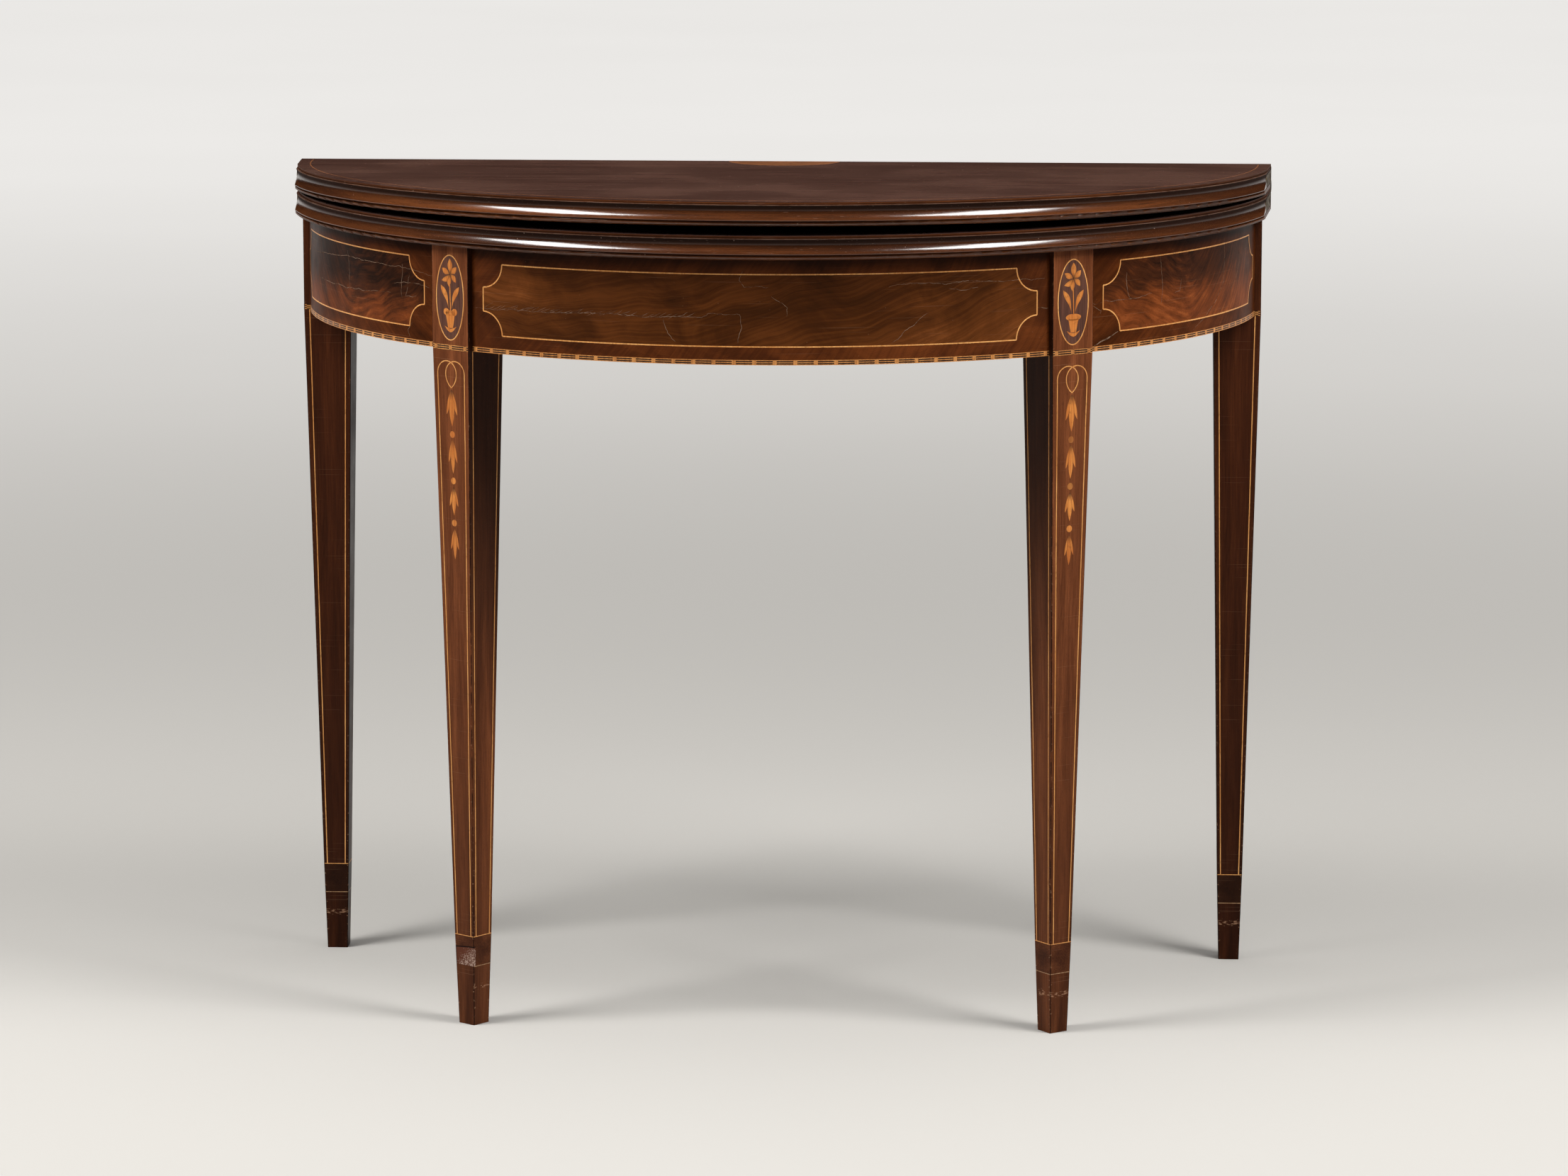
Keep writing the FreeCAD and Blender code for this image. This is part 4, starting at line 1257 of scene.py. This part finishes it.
for name, leg in legs.items():
    front = leg.body == "frame"
    for side in ((0, 1, 3) if front else (0, leg.outer)):
        sheet = bmesh.new()
        looped = front and side == 0
        draw_edge_strings(sheet, leg, LOOP_CENTRE if looped else FRIEZE_BOTTOM)
        if looped:
            draw_loops(sheet, leg)
        lay_inlay(f"leg_string_{name}_{side}", sheet, leg.face(side), leg.body, string_wood)
    for side in range(4):
        for string, level, wood in CROSS_STRINGS:
            if (string, name, side) == LOST_STRING:
                continue
            sheet = bmesh.new()
            half = leg.half(level) - CORNER_MARGIN
            draw_strip(sheet, (-half, level), (half, level), CUFF_STRING)
            lay_inlay(f"{string}_{name}_{side}", sheet, leg.face(side), leg.body, wood)

# %% Bellflowers
BELLFLOWERS = (
    (0.5765, 0.0332, 0.0128), (0.5315, 0.0300, 0.0106),
    (0.4890, 0.0250, 0.0104), (0.4515, 0.0270, 0.0097),
)
SCORCHES = {"front_left": (1.0, 0.5, 1.0, 0.5), "front_right": (1.0, 0.8, 1.0, 0.9)}
DOTS = (0.5363, 0.4948, 0.4570)
DOT_SCORCHES = {"front_left": (0.0, 0.0, 0.1), "front_right": (0.45, 0.4, 0.0)}
DOT_RADIUS = 0.0030
PETAL_GAP = 0.0003
MIDDLE_PETAL = 0.22
MIDDLE_FADE = 3.4
FLARE = 0.68
CURL_START = 0.7


def draw_bellflower(sheet, top, length, width, scorch):
    """A long middle petal, and two that hug it from the top and flare out at their tips."""
    layer = scorch_layer(sheet)

    def middle_half(share):
        return width * MIDDLE_PETAL * math.sin(math.pi * share ** 1.2)

    for side in (-1, 0, 1):
        made = bmesh.ops.create_grid(sheet, x_segments=10, y_segments=2, size=1.0)
        for vert in made["verts"]:
            along, across = (vert.co.x + 1) / 2, vert.co.y
            if side == 0:
                vert.co = (across * middle_half(along), top - along * length, 0)
            else:
                inner = middle_half(along * FLARE) + PETAL_GAP
                outer = max(inner, width / 2 * math.sin(math.pi / 2 * along ** 0.8))
                pull = max(0.0, (along - CURL_START) / (1 - CURL_START)) ** 1.5
                inner += (outer - inner) * pull
                out = inner + (outer - inner) * (across + 1) / 2
                vert.co = (side * out, top - along * FLARE * length, 0)
            vert[layer] = scorch * max(0.0, 1.0 - along * (SCORCH_FADE if side else MIDDLE_FADE))
        bmesh.ops.remove_doubles(sheet, verts=made["verts"], dist=MERGE_DISTANCE)


for name in ("front_left", "front_right"):
    leg = legs[name]
    sheet = bmesh.new()
    for (top, length, width), scorch in zip(BELLFLOWERS, SCORCHES[name]):
        draw_bellflower(sheet, top, length, width, scorch)
    for level, scorch in zip(DOTS, DOT_SCORCHES[name]):
        draw_oval(sheet, (0, level), 2 * DOT_RADIUS, 2 * DOT_RADIUS, 0.0, 16, scorch)
    lay_inlay("bellflowers_" + name, sheet, leg.face(0), leg.body, flower_wood)

# %% [markdown]
# The ovals at the heads of the front legs hold a flower in a pot on a dark ground, framed by a string. The
# flower has six petals about a point, a thin stem, two leaves, and a pot on a curved saucer. Places are
# written from the middle of the oval.

# %% Flower ovals
PETAL_HUB = (0.0004, 0.0208)
PETALS = (
    ((0.0002, 0.0346), 0.0056, 0.0), ((-0.0094, 0.0258), 0.0050, 0.0006),
    ((0.0082, 0.0274), 0.0052, -0.0006), ((-0.0100, 0.0148), 0.0046, 0.0016),
    ((0.0074, 0.0136), 0.0046, 0.0008), ((-0.0012, 0.0096), 0.0046, -0.0004),
)
PETAL_BELLY, LEAF_BELLY, SAUCER_BELLY = 0.56, 0.70, 0.5
PETAL_SCORCH, LEAF_SCORCH = 0.8, 0.3
STEM = ((0.0, 0.0110), (0.0006, -0.0110))
STEM_WIDTH = 0.0009
LEAVES = (
    ((-0.0014, -0.0112), (-0.0110, 0.0108), 0.0050, -0.0018),
    ((0.0018, -0.0110), (0.0112, 0.0102), 0.0050, 0.0018),
)
POT_MIDDLE = 0.0004
POT_TOP = -0.0150
POT_FOOT = -0.0268
POT_TOP_WIDTH = 0.0110
POT_FOOT_WIDTH = 0.0058
RIM_LIFT, PLAIN_RIM, LOBED_RIM = 0.0016, (0.0166, 0.0062), (0.0120, 0.0046)
LOBE_PLACE, LOBE_LIFT, LOBE_SIZE = 0.0050, 0.0024, (0.0066, 0.0062)
SAUCER = ((-0.0068, -0.0252), (0.0076, -0.0252), 0.0032, -0.0038)


def draw_pot(sheet, lobes):
    """A tapered pot: a grid narrowed to its foot, with a rolled rim of one or two lobes."""
    height = POT_TOP - POT_FOOT
    place = Matrix.Translation((POT_MIDDLE, (POT_TOP + POT_FOOT) / 2, 0))
    size = Matrix.Diagonal((1, height, 1, 1))
    made = bmesh.ops.create_grid(sheet, x_segments=2, y_segments=4, size=0.5, matrix=place @ size)
    for vert in made["verts"]:
        share = (vert.co.y - POT_FOOT) / height
        width = POT_FOOT_WIDTH + share * (POT_TOP_WIDTH - POT_FOOT_WIDTH)
        vert.co.x = (vert.co.x - POT_MIDDLE) * width + POT_MIDDLE
    draw_oval(sheet, (POT_MIDDLE, POT_TOP + RIM_LIFT), *(LOBED_RIM if lobes else PLAIN_RIM), segments=20)
    for side in (-1, 1) if lobes else ():
        draw_oval(sheet, (POT_MIDDLE + side * LOBE_PLACE, POT_TOP + LOBE_LIFT), *LOBE_SIZE, segments=16)


for name in ("front_left", "front_right"):
    leg = legs[name]
    on_leg = leg.face(0)

    def on_oval(u, v, w, on_leg=on_leg):
        return on_leg(u, OVAL_MIDDLE + v, w)

    sheet = bmesh.new()
    draw_oval(sheet, (0, 0), OVAL_WIDTH, OVAL_HEIGHT, EDGE_STRING * 1.1)
    lay_inlay("oval_string_" + name, sheet, on_oval, leg.body, string_wood)
    sheet = bmesh.new()
    for tip, width, bend in PETALS:
        draw_blade(sheet, PETAL_HUB, tip, width, PETAL_BELLY, bend, PETAL_SCORCH)
    draw_strip(sheet, *STEM, STEM_WIDTH)
    for base, tip, width, bend in LEAVES:
        draw_blade(sheet, base, tip, width, LEAF_BELLY, bend, LEAF_SCORCH)
    draw_pot(sheet, name == "front_left")
    draw_blade(sheet, *SAUCER[:3], SAUCER_BELLY, SAUCER[3])
    lay_inlay("flower_pot_" + name, sheet, on_oval, leg.body, flower_wood, rise=1.5 * INLAY_RISE)

# %% [markdown]
# On the top one string runs round the bow inside the cross-grain band, and a half-round fan sits at the
# middle of the back. The fan's leaves are drawn as blades between two bowed strings.

# %% Top string and fan
TOP_STRING_WIDTH = 0.0010
TOP_STRING_END = 1.5
FAN_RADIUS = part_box("half_patera")[1].x
FAN_BLADES = 9
FAN_HUB = 0.012
BLADE_END = 0.93
BLADE_WIDTH = math.pi / FAN_BLADES * FAN_RADIUS * 0.66
BLADE_BELLY, BLADE_SCORCH = 0.72, 0.9
BACK_MARGIN = 0.0006
middle = Vector((0, BACK_EDGE))


def draw_bow(sheet, radius, end, steps):
    """A string bowed about the middle of the back edge, up to so many degrees from that edge."""
    draw_arc(sheet, middle, radius, 180 + end, 360 - end, TOP_STRING_WIDTH, steps)


sheet = bmesh.new()
draw_bow(sheet, BAND_EDGE, TOP_STRING_END, 96)
lay_inlay("top_string", sheet, on_top, "upper_leaf", faded_wood)

sheet = bmesh.new()
for step in range(FAN_BLADES):
    angle = math.pi * (1 + (step + 0.5) / FAN_BLADES)
    way = Vector((math.cos(angle), math.sin(angle)))
    base, tip = middle + way * FAN_HUB, middle + way * FAN_RADIUS * BLADE_END
    draw_blade(sheet, base, tip, BLADE_WIDTH, BLADE_BELLY, 0.0, BLADE_SCORCH)
for radius in (FAN_HUB, FAN_RADIUS - TOP_STRING_WIDTH):
    draw_bow(sheet, radius, math.degrees(BACK_MARGIN / radius), 36)
lay_inlay("fan_blades", sheet, on_top, "upper_leaf", faded_wood)

# %% [markdown]
# The floor is one wide pale disc that runs out past the picture, so it is also the background. Far from
# the table less light reaches it, so there it glows a little, for the camera and in reflections. Two tall
# soft boxes stand high, about sixty degrees round to the left and right. That puts a bright streak on each
# side of the moulded edge and leaves the insides of the legs in the shade of the top. A dim panel in
# front, a wide sun overhead and a dim world fill the rest and aren't mirrored, so the polish stays dark
# between the streaks.

# %% Floor
FLOOR_RADIUS = 60.0
FAR_GLOW = 0.40


def floor_finish():
    matt = {"Specular IOR Level": 0.05, "Roughness": 0.9}
    material, shader, place = start_material("pale_floor", matt)
    far = add_node("VectorMath", {0: place}, operation="LENGTH").outputs["Value"]
    colour = mix(fade(far, 1.0, 9.0), tone(176, 173, 168), tone(242, 240, 237))
    soft = noise(place, 1.1, 3.0)
    colour = mix(times(soft, 0.06), colour, tone(150, 147, 142))
    path = add_node("LightPath", {}).outputs
    seen = most(path["Is Camera Ray"], path["Is Glossy Ray"], path["Is Transmission Ray"])
    glow = times(seen, fade(far, 0.8, 4.5, 0.0, FAR_GLOW))
    feed(shader, Base_Color=colour, Emission_Color=colour, Emission_Strength=glow)
    return material


sheet = bmesh.new()
bmesh.ops.create_circle(sheet, cap_ends=True, radius=FLOOR_RADIUS, segments=96)
floor = make_piece("floor", sheet, floor_finish())

# %% Lights
AIM = Vector((0, 0, 0.55))
SUN_POWER = 1.1
SUN_SPREAD = math.radians(60)
WORLD_STRENGTH = 0.2


def soft_box(name, azimuth, elevation, distance, width, height, power, mirrored=True):
    """A rectangle of light that faces the table; azimuth 0 is in front and 90 to the right."""
    a, e = math.radians(azimuth), math.radians(elevation)
    away = Vector((math.sin(a) * math.cos(e), -math.cos(a) * math.cos(e), math.sin(e)))
    lamp = bpy.data.lights.new(name, "AREA")
    lamp.shape = "RECTANGLE"
    lamp.size, lamp.size_y, lamp.energy = width, height, power
    stand = add_object(name, lamp)
    stand.location = AIM + away * distance
    stand.rotation_euler = (-away).to_track_quat("-Z", "Y").to_euler()
    stand.visible_glossy = mirrored
    print(name, "at", [round(c, 2) for c in stand.location], "power", power)


soft_box("left_soft_box", -63, 44, 2.7, 0.9, 1.5, 84)
soft_box("right_soft_box", 62, 44, 2.7, 0.9, 1.5, 84)
soft_box("front_fill", 4, 40, 5.2, 2.6, 1.6, 10, mirrored=False)

sun = bpy.data.lights.new("far_floor_fill", "SUN")
sun.energy, sun.angle = SUN_POWER, SUN_SPREAD
add_object("far_floor_fill", sun).visible_glossy = False

world = bpy.data.worlds.new("dim_room")
world.use_nodes = True
room_light = world.node_tree.nodes["Background"]
room_light.inputs["Color"].default_value = (1, 1, 1, 1)
room_light.inputs["Strength"].default_value = WORLD_STRENGTH
world.cycles_visibility.glossy = False
bpy.context.scene.world = world
print("floor and lights ready")
